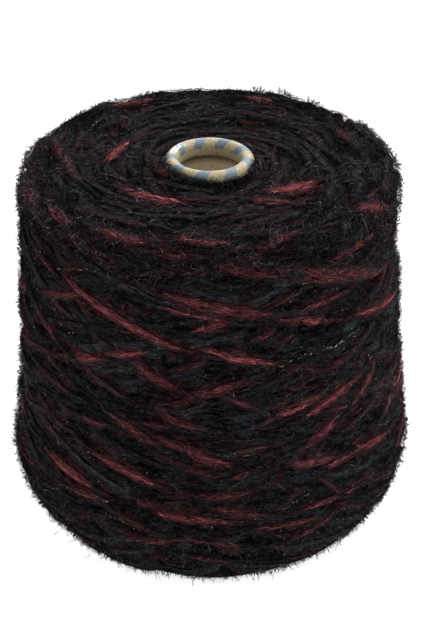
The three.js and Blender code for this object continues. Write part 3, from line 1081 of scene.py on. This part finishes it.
def tube_faces(rings, sides):
    """Faces of a tube that closes to a point at each end. Its points are one end, the rings one
    after another, and the other end."""
    side = np.arange(sides)
    following = (side + 1) % sides
    ring = 1 + sides * np.arange(rings - 1)[:, None]
    a, b = (ring + side).ravel(), (ring + following).ravel()
    end = 1 + sides * rings
    last_ring = end - sides
    return np.concatenate([
        np.stack([a, a + sides, b], 1),
        np.stack([b, a + sides, b + sides], 1),
        np.stack([np.zeros(sides, int), 1 + side, 1 + following], 1),
        np.stack([np.full(sides, end), last_ring + following, last_ring + side], 1),
    ])


def strand_arrays(turn, start, stop, seed):
    """One stretch of a turn as a flattened tube: its points, faces, colours and lay."""
    steps = np.unique(np.append(np.arange(start, stop, MESH_STEP), stop - 1))
    azimuth, way = turn["azimuth"][steps], turn["way"][steps]
    half_width = turn["half_width"][steps]
    half_thickness = 0.5 * turn["thickness"][steps]
    centre, outwards = on_skin(azimuth, way, turn["lift"][steps] - STRAND_SINK)
    forward, sideways = path_directions(centre, outwards)
    across = np.cos(SECTION_ANGLES)[None, :, None]
    up = np.sin(SECTION_ANGLES)[None, :, None]
    flat_below = np.where(up < 0, up * 0.8, up)
    wide = across * (half_width[:, None, None] * sideways[:, None, :])
    tall = flat_below * (half_thickness[:, None, None] * outwards[:, None, :])
    rings = centre[:, None, :] + wide + tall
    first = centre[0] - forward[0] * STRAND_TIP - STRAND_TIP_DROP * outwards[0]
    last = centre[-1] + forward[-1] * STRAND_TIP - STRAND_TIP_DROP * outwards[-1]
    corners = np.concatenate([first[None], rings.reshape(-1, 3), last[None]])
    corners[:, 2] = np.maximum(corners[:, 2], LOWEST_STRAND)

    colour = turn["colour"][steps]
    # The crest of each ring has the turn's colour and its flanks the edge colour, which is painted shade on
    # plain turns.
    crest = np.clip(up * 1.15, 0, 1)
    edge = turn["edge"][steps]
    ring_colour = (edge[:, None, :] * (1 - crest) + colour[:, None, :] * crest).reshape(-1, 3)
    dye = np.concatenate([colour[:1], ring_colour, colour[-1:]])
    along = steps * LAY_STEP * (FACE_CURL if way.max() < RIM_START else 1.0)
    lay_rings = np.stack([
        np.repeat(along, SECTION_SIDES),
        np.full(len(steps) * SECTION_SIDES, seed),
        (half_width[:, None] * SECTION_ANGLES[None, :] * 0.9).ravel(),
    ], 1)
    lay = np.concatenate([[[along[0], seed, 0]], lay_rings, [[along[-1], seed, 0]]])
    triangles = tube_faces(len(steps), SECTION_SIDES)
    return corners, triangles, np.column_stack([dye, np.ones(len(dye))]), lay


def pieces_from_parts(name, parts, material):
    """Joins many small closed parts into as few pieces as the limit on faces allows. Each part is
    its points, faces, colours and lay."""
    batches, faces = [[]], 0
    for part in parts:
        if faces + len(part[1]) > TRIANGLE_LIMIT:
            batches.append([])
            faces = 0
        batches[-1].append(part)
        faces += len(part[1])
    for number, batch in enumerate(batches, 1):
        offsets = np.cumsum([0] + [len(part[0]) for part in batch[:-1]])
        corners, dye, lay = (np.concatenate([part[k] for part in batch]) for k in (0, 2, 3))
        triangles = np.concatenate([part[1] + offset for part, offset in zip(batch, offsets)])
        layers = {"dye": dye, "lay": lay}
        piece = piece_from_arrays(f"{name}_{number}", corners, triangles, material, layers)
        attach(piece, "root")


strand_parts = []
for number, turn in enumerate(turns_laid):
    noise_seed = (number * 0.618) % 1 * 50
    for start, stop in visible_runs(turn):
        strand_parts.append(strand_arrays(turn, start, stop, noise_seed))
pieces_from_parts("top_turns", strand_parts, wound_yarn_material)


# Slub fibres
# A slub is a bundle of loose dyed fibre caught in the yarn. Its fibres run
# nearly parallel, feather out at both ends, and differ a little in shade.
PRISM_ANGLES = np.radians((90, 210, 330))
LOWEST_FIBRE = 0.05
END_TUCK = 0.15


def fibre_arrays(azimuths, ways, lifts, half_width, colour):
    """Fibres along paths over the skin, a row of points each, as thin three-sided blades that taper
    to a point at both ends: their points, faces, colours and lay."""
    count, points = azimuths.shape
    centre, outwards = on_skin(azimuths, np.minimum(ways, SKIN_LENGTH - 1), lifts)
    forward, sideways = path_directions(centre, outwards)
    upright = np.cross(forward, sideways)
    inner = centre[:, 1:-1, None, :] + half_width[:, None, None, None] * (
        np.cos(PRISM_ANGLES)[None, None, :, None] * sideways[:, 1:-1, None, :]
        + np.sin(PRISM_ANGLES)[None, None, :, None] * upright[:, 1:-1, None, :]
    )
    corners = np.concatenate([centre[:, :1], inner.reshape(count, -1, 3), centre[:, -1:]], axis=1)
    corners[:, :, 2] = np.maximum(corners[:, :, 2], LOWEST_FIBRE)
    per_fibre = corners.shape[1]
    faces = tube_faces(points - 2, len(PRISM_ANGLES))
    triangles = faces[None] + (np.arange(count) * per_fibre)[:, None, None]
    dye = np.repeat(np.column_stack([colour, np.ones(count)]), per_fibre, axis=0)
    length = np.linalg.norm(np.diff(centre, axis=1), axis=2).sum(axis=1)
    share = np.concatenate([[0], np.repeat(np.arange(1, points - 1), 3), [points - 1]]) / (points - 1)
    lay = np.zeros((count, per_fibre, 3))
    lay[:, :, 0] = share[None, :] * length[:, None]
    lay[:, :, 1] = (np.arange(count) % 97)[:, None]
    return corners.reshape(-1, 3), triangles.reshape(-1, 3), dye, lay.reshape(-1, 3)


def make_single_fibre():
    """Single acrylic fibres: smooth, with paler and darker stretches."""
    material, make, shader = new_material("acrylic_fibre")
    lay = make("ShaderNodeAttribute", {"attribute_name": "lay"}).outputs["Vector"]
    dye = make("ShaderNodeAttribute", {"attribute_name": "dye"}).outputs["Color"]
    place = make("ShaderNodeVectorMath", {"operation": "MULTIPLY"}, i0=lay, i1=(0.5, 1, 1))
    flecks = make("ShaderNodeTexNoise", Vector=place.outputs[0], Scale=1.0, Detail=2.0)
    shade = make("ShaderNodeMapRange", i0=flecks.outputs["Fac"], i1=0.3, i2=0.7, i3=0.35, i4=1.65)
    colour = make("ShaderNodeVectorMath", {"operation": "SCALE"}, i0=dye, Scale=shade.outputs[0])
    connect(material, colour.outputs[0], shader, "Base Color")
    rough = make("ShaderNodeMapRange", i0=flecks.outputs["Fac"], i3=0.65, i4=0.45)
    connect(material, rough.outputs[0], shader, "Roughness")
    shader.inputs["Specular IOR Level"].default_value = 0.035
    return material


# Most fibres of a slub lie in its body, and a mist of duller ones has spread around it. The columns
# are fibres for each square millimetre, reach along the yarn as a share of the slub's length, share
# of the fibres in a tight core, spread across as a share of the slub's width, spread of the angle
# in degrees, and strength of colour.
SLUB_LAYER_COLUMNS = ("density", "reach", "core", "spread", "slant", "strength")
SLUB_LAYERS = {
    "body": (1.5, 1.0, 0.4, 0.62, 12, 1.0),
    "mist": (0.95, 1.25, 0.0, 1.6, 25, 0.46),
}
SLUB_SPREAD = 0.84
SLUB_FIBRE_POINTS = 3
SLUB_FIBRE_HALF_WIDTHS = (0.045, 0.09)
ASHY_SHARE = 0.26


def slub_fibres(random, slub, turn, spindle, layer_name):
    """The fibres of one layer of a slub, sampled along the length of yarn that it sits in."""
    points = SLUB_FIBRE_POINTS
    layer = dict(zip(SLUB_LAYER_COLUMNS, SLUB_LAYERS[layer_name]))
    count = int(np.clip(slub["length"] * slub["width"] * layer["density"], 20, 300))
    steps = np.arange(len(spindle))
    length = np.clip(random.lognormal(math.log(3.4), 0.35, count), 1.8, 9)
    reach_along = slub["length"] * layer["reach"] + 2
    centre = len(spindle) / 2 + random.uniform(-0.5, 0.5, count) * reach_along / LAY_STEP
    spots = np.linspace(-0.5, 0.5, points)[None, :] * length[:, None]
    places = centre[:, None] + spots / LAY_STEP

    def along(values):
        return np.interp(places, steps, values)

    envelope = SLUB_SPREAD * slub["width"] * (0.5 + 0.5 * along(spindle))
    in_core = random.uniform(0, 1, count) < layer["core"]
    lean = random.uniform(-0.3, 0.3)
    core_spread = random.normal(lean, 0.13, count)
    spread = np.where(in_core, core_spread, random.normal(0, layer["spread"], count))
    slant = random.normal(0, math.radians(layer["slant"]), count)[:, None]
    reach = spread[:, None] * envelope + spots * np.tan(slant) + random.normal(0, 0.12, (count, points))
    share = np.clip(np.abs(reach) / along(turn["half_width"]), 0, 1)
    azimuths = along(turn["azimuth"]) + along(turn["side"][0]) * reach
    ways = along(turn["way"]) + along(turn["side"][1]) * reach
    lifts = along(turn["lift"]) + np.sqrt(1 - share**2) * 0.5 * along(turn["thickness"])
    if layer_name == "mist":
        lifts = np.maximum(lifts, relief_at(azimuths, ways, haze_relief))
    lifts += np.abs(random.normal(0, 0.2, count))[:, None]
    lifts[:, [0, -1]] -= END_TUCK
    tone = SLUB_COLOURS[slub["shade"]] * (0.5 + 0.6 * slub["fill"]) * layer["strength"]
    fade = np.where(in_core, 1.5, 0.95 - 0.5 * np.clip(np.abs(spread), 0, 1))
    colour = tone * (random.lognormal(0.05, 0.5, count) * fade)[:, None]
    ashy = random.uniform(0, 1, count) < ASHY_SHARE
    colour[ashy] = CHARCOAL * random.uniform(0.3, 2.2, ashy.sum())[:, None]
    half_width = random.uniform(*SLUB_FIBRE_HALF_WIDTHS, count)
    return fibre_arrays(azimuths, ways, lifts, half_width, colour)


def wisp_fibres(random, azimuth, way, tone):
    """A faint wisp of coloured fibre that has worked its way up between the turns."""
    count = int(random.uniform(14, 44))
    column, row = map_cells(azimuth, way)
    tilt = lay_tilt[column, row] + random.normal(0, math.radians(5))
    along = random.normal(0, random.uniform(1.5, 5), count)
    across = random.normal(0, random.uniform(0.4, 1.2), count)
    length = np.clip(random.lognormal(math.log(3.2), 0.35, count), 1.5, 7)
    heading = tilt + random.normal(0, math.radians(16), count)
    spots = np.linspace(-0.5, 0.5, SLUB_FIBRE_POINTS)[None, :] * length[:, None]
    over = (along * math.cos(tilt) - across * math.sin(tilt))[:, None] + np.cos(heading)[:, None] * spots
    down = (across - along * math.sin(tilt))[:, None] - np.sin(heading)[:, None] * spots
    azimuths = azimuth + over / float(skin_radius(way))
    ways = way + down + random.normal(0, 0.12, (count, SLUB_FIBRE_POINTS))
    lifts = relief_at(azimuths, ways, haze_relief) + np.abs(random.normal(0.1, 0.2, count))[:, None]
    lifts[:, [0, -1]] -= END_TUCK
    colour = tone * random.lognormal(-0.2, 0.5, count)[:, None]
    half_width = random.uniform(*SLUB_FIBRE_HALF_WIDTHS, count)
    return fibre_arrays(azimuths, ways, lifts, half_width, colour)


single_fibre_material = make_single_fibre()
# The strength of each shade in the wisps.
WISP_SHADES = {"red": 0.5, "dull": 0.9, "brown": 0.6, "green": 0.8}
WISP_SHARES = (0.4, 0.36, 0.14, 0.10)
WISP_COUNT = 430
wisp_tones = [SLUB_COLOURS[shade] * strength for shade, strength in WISP_SHADES.items()]
random = np.random.default_rng(5)
slub_parts = [slub_fibres(random, *run, layer) for run in slub_runs for layer in SLUB_LAYERS]
wisp_azimuths = random.uniform(0, 2 * np.pi, WISP_COUNT)
wisp_ways = random.uniform(4, FOOT_START + 50, WISP_COUNT)
for wisp_azimuth, wisp_way in zip(wisp_azimuths, wisp_ways):
    wisp_tone = wisp_tones[random.choice(len(wisp_tones), p=WISP_SHARES)]
    slub_parts.append(wisp_fibres(random, wisp_azimuth, wisp_way, wisp_tone))
pieces_from_parts("slub_fibres", slub_parts, single_fibre_material)


# Brushed haze
# Brushing has pulled a mist of fine fibres out of every turn. They lie almost
# flat and curl over the turns, and some stand off and fringe the outline.
# The grey and pale shades are partly paler fibres and partly painted sheen, the highlights on dark hairs.
HAZE_SHADES = np.array((
    (0.0018, 0.0016, 0.0024),
    (0.0115, 0.0100, 0.0140),
    (0.0310, 0.0275, 0.0340),
    (0.0200, 0.0290, 0.0310),
    (0.0500, 0.0260, 0.0250),
    (0.1050, 0.1010, 0.1020),
    (0.2400, 0.2300, 0.2100),
))
HAZE_SHARES = (0.38, 0.21, 0.15, 0.07, 0.05, 0.132, 0.008)
# Haze is paler over a paler strand and darker over a dark one, about this middling shade.
MIDDLING_STRAND = 0.0085
STRAND_LIGHT_POWER = 0.9
STRAND_LIGHT_RANGE = (0.3, 1.9)
HAZE_HALF_WIDTHS = (0.03, 0.07)
PALE_HAIR = 0.05
PALE_HAIR_WIDENING = 1.3
PALEST_STRAY = 0.10
STRAY_ROOT_DEPTH = 0.3
# Each row of lying hairs: how many, their length, the spread of their angle to the yarn in
# degrees, how strongly they curl, and the points of each.
LYING_COLUMNS = ("count", "length", "spread", "curl", "points")
LYING_HAIRS = {
    "face_haze": ((21000, 3.4, 55, 0.7, 3), (2500, 6.0, 50, 0.7, 4)),
    "side_haze": ((11000, 3.5, 14, 0.35, 3), (4500, 7, 16, 0.35, 4)),
    "foot_haze": ((4500, 3.5, 16, 0.35, 3), (1600, 7, 20, 0.35, 4)),
}
# Each row of hairs that stand off: where, how many, their reach off the yarn, how far they lean
# as a share of it, the points of each, and their half width.
STRAY_COLUMNS = ("where", "count", "reach", "lean", "points", "half_width")
STRAY_HAIRS = (
    ("rim", 9000, 1.5, 1.3, 3, 0.11),
    ("rim", 700, 2.4, 1.5, 4, 0.09),
    ("whole", 7000, 1.2, 1.5, 3, 0.09),
    ("whole", 400, 2.2, 1.8, 4, 0.09),
    ("flanks", 7000, 1.4, 1.0, 3, 0.13),
    ("foot", 9500, 1.4, 1.0, 3, 0.16),
)
NECK_HAIRS = 2000
FLANK_AZIMUTH = 92
FLANK_SPREAD = 14
# The stretches of the skin that hairs are spread over.
STRETCHES = {
    "face_haze": (1, SIDE_START),
    "side_haze": (RIM_START + 3, FOOT_START + 20),
    "foot_haze": (FOOT_START + 15, SKIN_LENGTH - 1),
    "rim": (RIM_START - 8, SIDE_START + 6),
    "whole": (2, FOOT_START + 45),
    "flanks": (SIDE_START, FOOT_START + 12),
    "foot": (FOOT_START - 2, FOOT_START + 44),
}
# Tufts that stand higher: azimuth, way from the start of the rim, hairs, and reach off the yarn.
TUFT_COLUMNS = ("azimuth", "way", "hairs", "reach")
TUFTS = (
    (163, 3, 90, 3.0),
    (154, 5, 120, 3.4),
    (143, 4, 60, 2.4),
    (120, 6, 50, 2.2),
    (96, 8, 60, 2.4),
    (-100, 6, 50, 2.0),
    (-158, 4, 50, 1.8),
    (-74, 128, 26, 5.0),
    (-80, 122, 20, 4.0),
)
TUFT_SPREAD = 2.2


def skin_spots(random, count, first, last):
    """Places spread evenly over a stretch of the skin, as azimuths and ways."""
    steps = np.linspace(first, last, 400)
    share = np.cumsum(skin_radius(steps))
    way = np.interp(random.uniform(share[0], share[-1], count), share, steps)
    return random.uniform(0, 2 * np.pi, count), way


def curling_paths(random, azimuth, way, heading, length, bend, curl, points):
    """Paths over the skin through given places: each bends one way and curls to and fro."""
    spots = np.linspace(-0.5, 0.5, points)[None, :] * length[:, None]
    phase = random.uniform(0, 2 * np.pi, len(way))[:, None]
    wave = random.uniform(4, 9, len(way))[:, None]
    curling = curl[:, None] * np.sin(2 * np.pi * spots / wave + phase)
    turning = heading[:, None] + bend[:, None] * spots + curling
    gap = length[:, None] / (points - 1)
    over = np.cumsum(np.cos(turning) * gap, axis=1)
    down = -np.cumsum(np.sin(turning) * gap, axis=1)
    middle = points // 2
    over -= over[:, middle:middle + 1]
    down -= down[:, middle:middle + 1]
    return azimuth[:, None] + over / skin_radius(way)[:, None], way[:, None] + down


def haze_colours(random, azimuth, way, takes_after):
    """Shades of single hairs. Some take after the yarn under them, by a share for each hair."""
    strand = lay_colour[map_cells(azimuth, way)]
    shades = HAZE_SHADES[random.choice(len(HAZE_SHADES), len(azimuth), p=HAZE_SHARES)]
    under = strand * random.lognormal(0, 0.4, len(azimuth))[:, None]
    strand_light = (strand.mean(axis=1) / MIDDLING_STRAND) ** STRAND_LIGHT_POWER
    lit_share = (1 - takes_after) * np.clip(strand_light, *STRAND_LIGHT_RANGE)
    mixed = shades * lit_share[:, None] + under * takes_after[:, None]
    return mixed * random.lognormal(0, 0.25, len(azimuth))[:, None]


def lying_fibres(random, stretch, count, length, spread, curl, points):
    """Fibres that lie along and across the turns, with both ends tucked in."""
    azimuth, way = skin_spots(random, count, *stretch)
    stray = random.normal(0, math.radians(spread), count)
    heading = lay_tilt[map_cells(azimuth, way)] + stray
    lengths = np.clip(random.lognormal(math.log(length), 0.4, count), 0.4 * length, 3 * length)
    bends = random.normal(0, 1.7 * curl, count) / lengths
    curls = random.normal(0, curl, count)
    azimuths, ways = curling_paths(random, azimuth, way, heading, lengths, bends, curls, points)
    arch = np.abs(random.normal(0, 0.4, count))[:, None]
    rise = arch * random.uniform(0.5, 1.2, (count, points)) + 0.08
    rise[:, 0] = -END_TUCK
    rise[:, -1] = random.uniform(-0.2, 0.3, count)
    takes_after = np.where(np.abs(stray) < math.radians(20), random.uniform(0, 1, count), 0.0)
    colour = haze_colours(random, azimuth, way, takes_after)
    lifts = relief_at(azimuths, ways, haze_relief) + rise
    widening = np.where(colour.mean(axis=1) > PALE_HAIR, PALE_HAIR_WIDENING, 1.0)
    half_width = random.uniform(*HAZE_HALF_WIDTHS, count) * widening
    return fibre_arrays(azimuths, ways, lifts, half_width, colour)


def stray_fibres(random, azimuth, way, reach, lean, points, half_width):
    """Short hairs rooted in the yarn at one end, which stand off it, lean and curl."""
    count = len(azimuth)
    stand = reach * random.lognormal(-0.1, 0.45, count)[:, None]
    heading = random.uniform(0, 2 * np.pi, count)[:, None]
    grow = np.linspace(0, 1, points)[None, :]
    forward = stand * random.uniform(0.1, lean, count)[:, None] * grow**1.3
    aside = stand * random.normal(0, 0.22, count)[:, None] * np.sin(np.pi * grow)
    over = np.cos(heading) * forward - np.sin(heading) * aside
    down = np.sin(heading) * forward + np.cos(heading) * aside
    azimuths = azimuth[:, None] + over / skin_radius(way)[:, None]
    ways = way[:, None] + down
    looped = random.uniform(0, 1, count)[:, None] < 0.15
    rise = np.where(looped, 1.1 * np.sin(0.8 * np.pi * grow), grow**0.85) * stand - STRAY_ROOT_DEPTH
    colour = np.minimum(haze_colours(random, azimuth, way, np.zeros(count)), PALEST_STRAY)
    root = relief_at(azimuth, way, crest_relief)[:, None]
    half_widths = half_width * random.uniform(0.6, 1.4, count)
    return fibre_arrays(azimuths, ways, root + rise, half_widths, colour)


def neck_fibres(random, count):
    """Hairs of the innermost turns that lean in over the lower edge of the bead."""
    azimuth = random.uniform(-np.pi, np.pi, count)
    way = random.uniform(0.2, 4, count)
    grow = np.linspace(0, 1, 3)[None, :]
    ways = way[:, None] - random.uniform(0.5, 6.5, count)[:, None] * grow
    aside = random.normal(0, 2.0, count)[:, None] * grow + random.normal(0, 0.3, (count, 3))
    azimuths = azimuth[:, None] + aside / skin_radius(0)
    rise = random.uniform(0.5, 3.0, count)[:, None] * grow**0.8 + random.uniform(0, 0.3, (count, 3))
    colour = haze_colours(random, azimuth, way, np.zeros(count))
    root = relief_at(azimuth, way, haze_relief)[:, None]
    return fibre_arrays(azimuths, ways, root + rise, random.uniform(0.05, 0.1, count), colour)


def flank_spots(random, count):
    """Places on the two flanks that make the package's outline in the photograph."""
    middle = random.choice((-FLANK_AZIMUTH, FLANK_AZIMUTH), count)
    azimuth = np.radians(middle + random.normal(0, FLANK_SPREAD, count))
    return azimuth, random.uniform(*STRETCHES["flanks"], count)


def tuft_fibres(random, azimuth, way, hairs, reach):
    """A tuft of hairs that stands off the rim or the side."""
    off_azimuth, off_way = random.normal(0, TUFT_SPREAD, (2, hairs))
    azimuths = math.radians(azimuth) + off_azimuth / TOP_RADIUS
    ways = RIM_START + way + off_way
    return stray_fibres(random, azimuths, ways, reach, lean=1.4, points=4, half_width=0.09)


random = np.random.default_rng(11)
for haze_name, haze_rows in LYING_HAIRS.items():
    haze_parts = []
    for haze_row in haze_rows:
        haze = dict(zip(LYING_COLUMNS, haze_row))
        haze_parts.append(lying_fibres(random, STRETCHES[haze_name], **haze))
    pieces_from_parts(haze_name, haze_parts, single_fibre_material)

flank_count = sum(row[1] for row in STRAY_HAIRS if row[0] == "flanks")
flank_roots = flank_spots(random, flank_count)
tufts = [tuft_fibres(random, **dict(zip(TUFT_COLUMNS, row))) for row in TUFTS]
stray_parts = []
for stray_row in STRAY_HAIRS:
    hairs = dict(zip(STRAY_COLUMNS, stray_row))
    where, count = hairs.pop("where"), hairs.pop("count")
    roots = flank_roots if where == "flanks" else skin_spots(random, count, *STRETCHES[where])
    stray_parts.append(stray_fibres(random, *roots, **hairs))
stray_parts.append(neck_fibres(random, NECK_HAIRS))
pieces_from_parts("stray_hairs", stray_parts + tufts, single_fibre_material)


# Metal filament
# A hair-thin metallised film is spun in with the yarn. It is kinked, dips in
# and out of the haze, and shows as rows of gold and silver glints.
GLINT_COLOURS = np.array(((0.80, 0.66, 0.34), (0.82, 0.77, 0.58), (0.86, 0.86, 0.84), (0.55, 0.62, 0.36)))
GLINT_SHARES = (0.34, 0.26, 0.28, 0.12)
LONE_GLINTS = 1500
MORE_FILAMENTS = 30
GLINT_LENGTH = 0.42
SEEN_GLINT_STRETCH = 1.5
# Stretches that show in the photograph.
FILAMENT_COLUMNS = ("azimuth", "height", "length", "tilt")
SEEN_FILAMENTS = (
    (31, 117, 52, 4),
    (34, 119, 9, -20),
    (46, 117, 4, -10),
    (31, 149, 16, -8),
    (3, 78, 13, 4),
    (24, 51, 15, 12),
    (-41, 150, 22, 21),
    (-31, 161, 6, 0),
    (-49, 41, 15, 34),
    (-43, 30, 7, 27),
    (-24, 42, 17, -8),
    (-32, 50, 10, -13),
)


def filament_glints(random, azimuth, way, tilt, length):
    """The kinks of one stretch of filament that catch the light: azimuths, ways and headings."""
    count = max(4, int(length / 0.8))
    along = np.sort(random.uniform(-0.5, 0.5, count)) * length
    wave = random.uniform(0, 2 * np.pi) + along / 1.2
    drift = 0.4 * np.sin(wave) + random.normal(0, 0.12, count)
    azimuths = azimuth + (along * math.cos(tilt) - drift * math.sin(tilt)) / float(skin_radius(way))
    ways = way - along * math.sin(tilt) + drift
    return azimuths, ways, tilt - 0.33 * np.cos(wave) + random.normal(0, 0.35, count)


def glint_arrays(random, azimuth, way, heading, sizes):
    """Kinks of metal film as short blades."""
    count = len(azimuth)
    spots = np.array((-0.5, 0.0, 0.5))[None, :] * sizes[:, None]
    azimuths = azimuth[:, None] + np.cos(heading)[:, None] * spots / skin_radius(way)[:, None]
    ways = way[:, None] - np.sin(heading)[:, None] * spots
    lifts = relief_at(azimuths, ways, haze_relief) + random.uniform(0.3, 1.0, count)[:, None]
    lifts += random.normal(0, 0.12, (count, 3))
    colour = GLINT_COLOURS[random.choice(len(GLINT_COLOURS), count, p=GLINT_SHARES)]
    half_width = random.uniform(0.06, 0.16, count)
    brightness = 0.12 + random.uniform(0, 1, count) ** 2
    return fibre_arrays(azimuths, ways, lifts, half_width, colour * brightness[:, None])


def make_metal_film():
    """Metallised film, its gold or silver from each glint, crinkled to an uneven polish."""
    material, make, shader = new_material("metal_film")
    dye = make("ShaderNodeAttribute", {"attribute_name": "dye"})
    lay = make("ShaderNodeAttribute", {"attribute_name": "lay"})
    connect(material, dye.outputs["Color"], shader, "Base Color")
    crinkle = make("ShaderNodeTexNoise", Vector=lay.outputs["Vector"], Scale=3.0, Detail=1.0)
    rough = make("ShaderNodeMapRange", i0=crinkle.outputs["Fac"], i3=0.18, i4=0.42)
    connect(material, rough.outputs[0], shader, "Roughness")
    shader.inputs["Metallic"].default_value = 1.0
    return material


random = np.random.default_rng(3)
glint_places = []
for filament_row in SEEN_FILAMENTS:
    seen = dict(zip(FILAMENT_COLUMNS, filament_row))
    seen_azimuth, seen_tilt = math.radians(seen["azimuth"]), math.radians(seen["tilt"])
    seen_way = float(way_at_height(seen["height"]))
    glint_places.append(filament_glints(random, seen_azimuth, seen_way, seen_tilt, seen["length"]))
seen_count = sum(len(places[0]) for places in glint_places)
for filament_azimuth, filament_way in zip(*skin_spots(random, MORE_FILAMENTS, 6, FOOT_START + 45)):
    yarn_tilt = float(lay_tilt[map_cells(filament_azimuth, filament_way)])
    filament_length = random.uniform(3, 11)
    glint_places.append(
        filament_glints(random, filament_azimuth, filament_way, yarn_tilt, filament_length)
    )
lone_azimuth, lone_way = skin_spots(random, LONE_GLINTS, 3, FOOT_START + 50)
glint_places.append((lone_azimuth, lone_way, random.uniform(0, np.pi, LONE_GLINTS)))
glint_azimuth, glint_way, glint_heading = (np.concatenate(values) for values in zip(*glint_places))
glint_sizes = random.lognormal(math.log(GLINT_LENGTH), 0.6, len(glint_azimuth))
glint_sizes[:seen_count] *= SEEN_GLINT_STRETCH
glints = glint_arrays(random, glint_azimuth, glint_way, glint_heading, glint_sizes)
pieces_from_parts("metal_filament", [glints], make_metal_film())
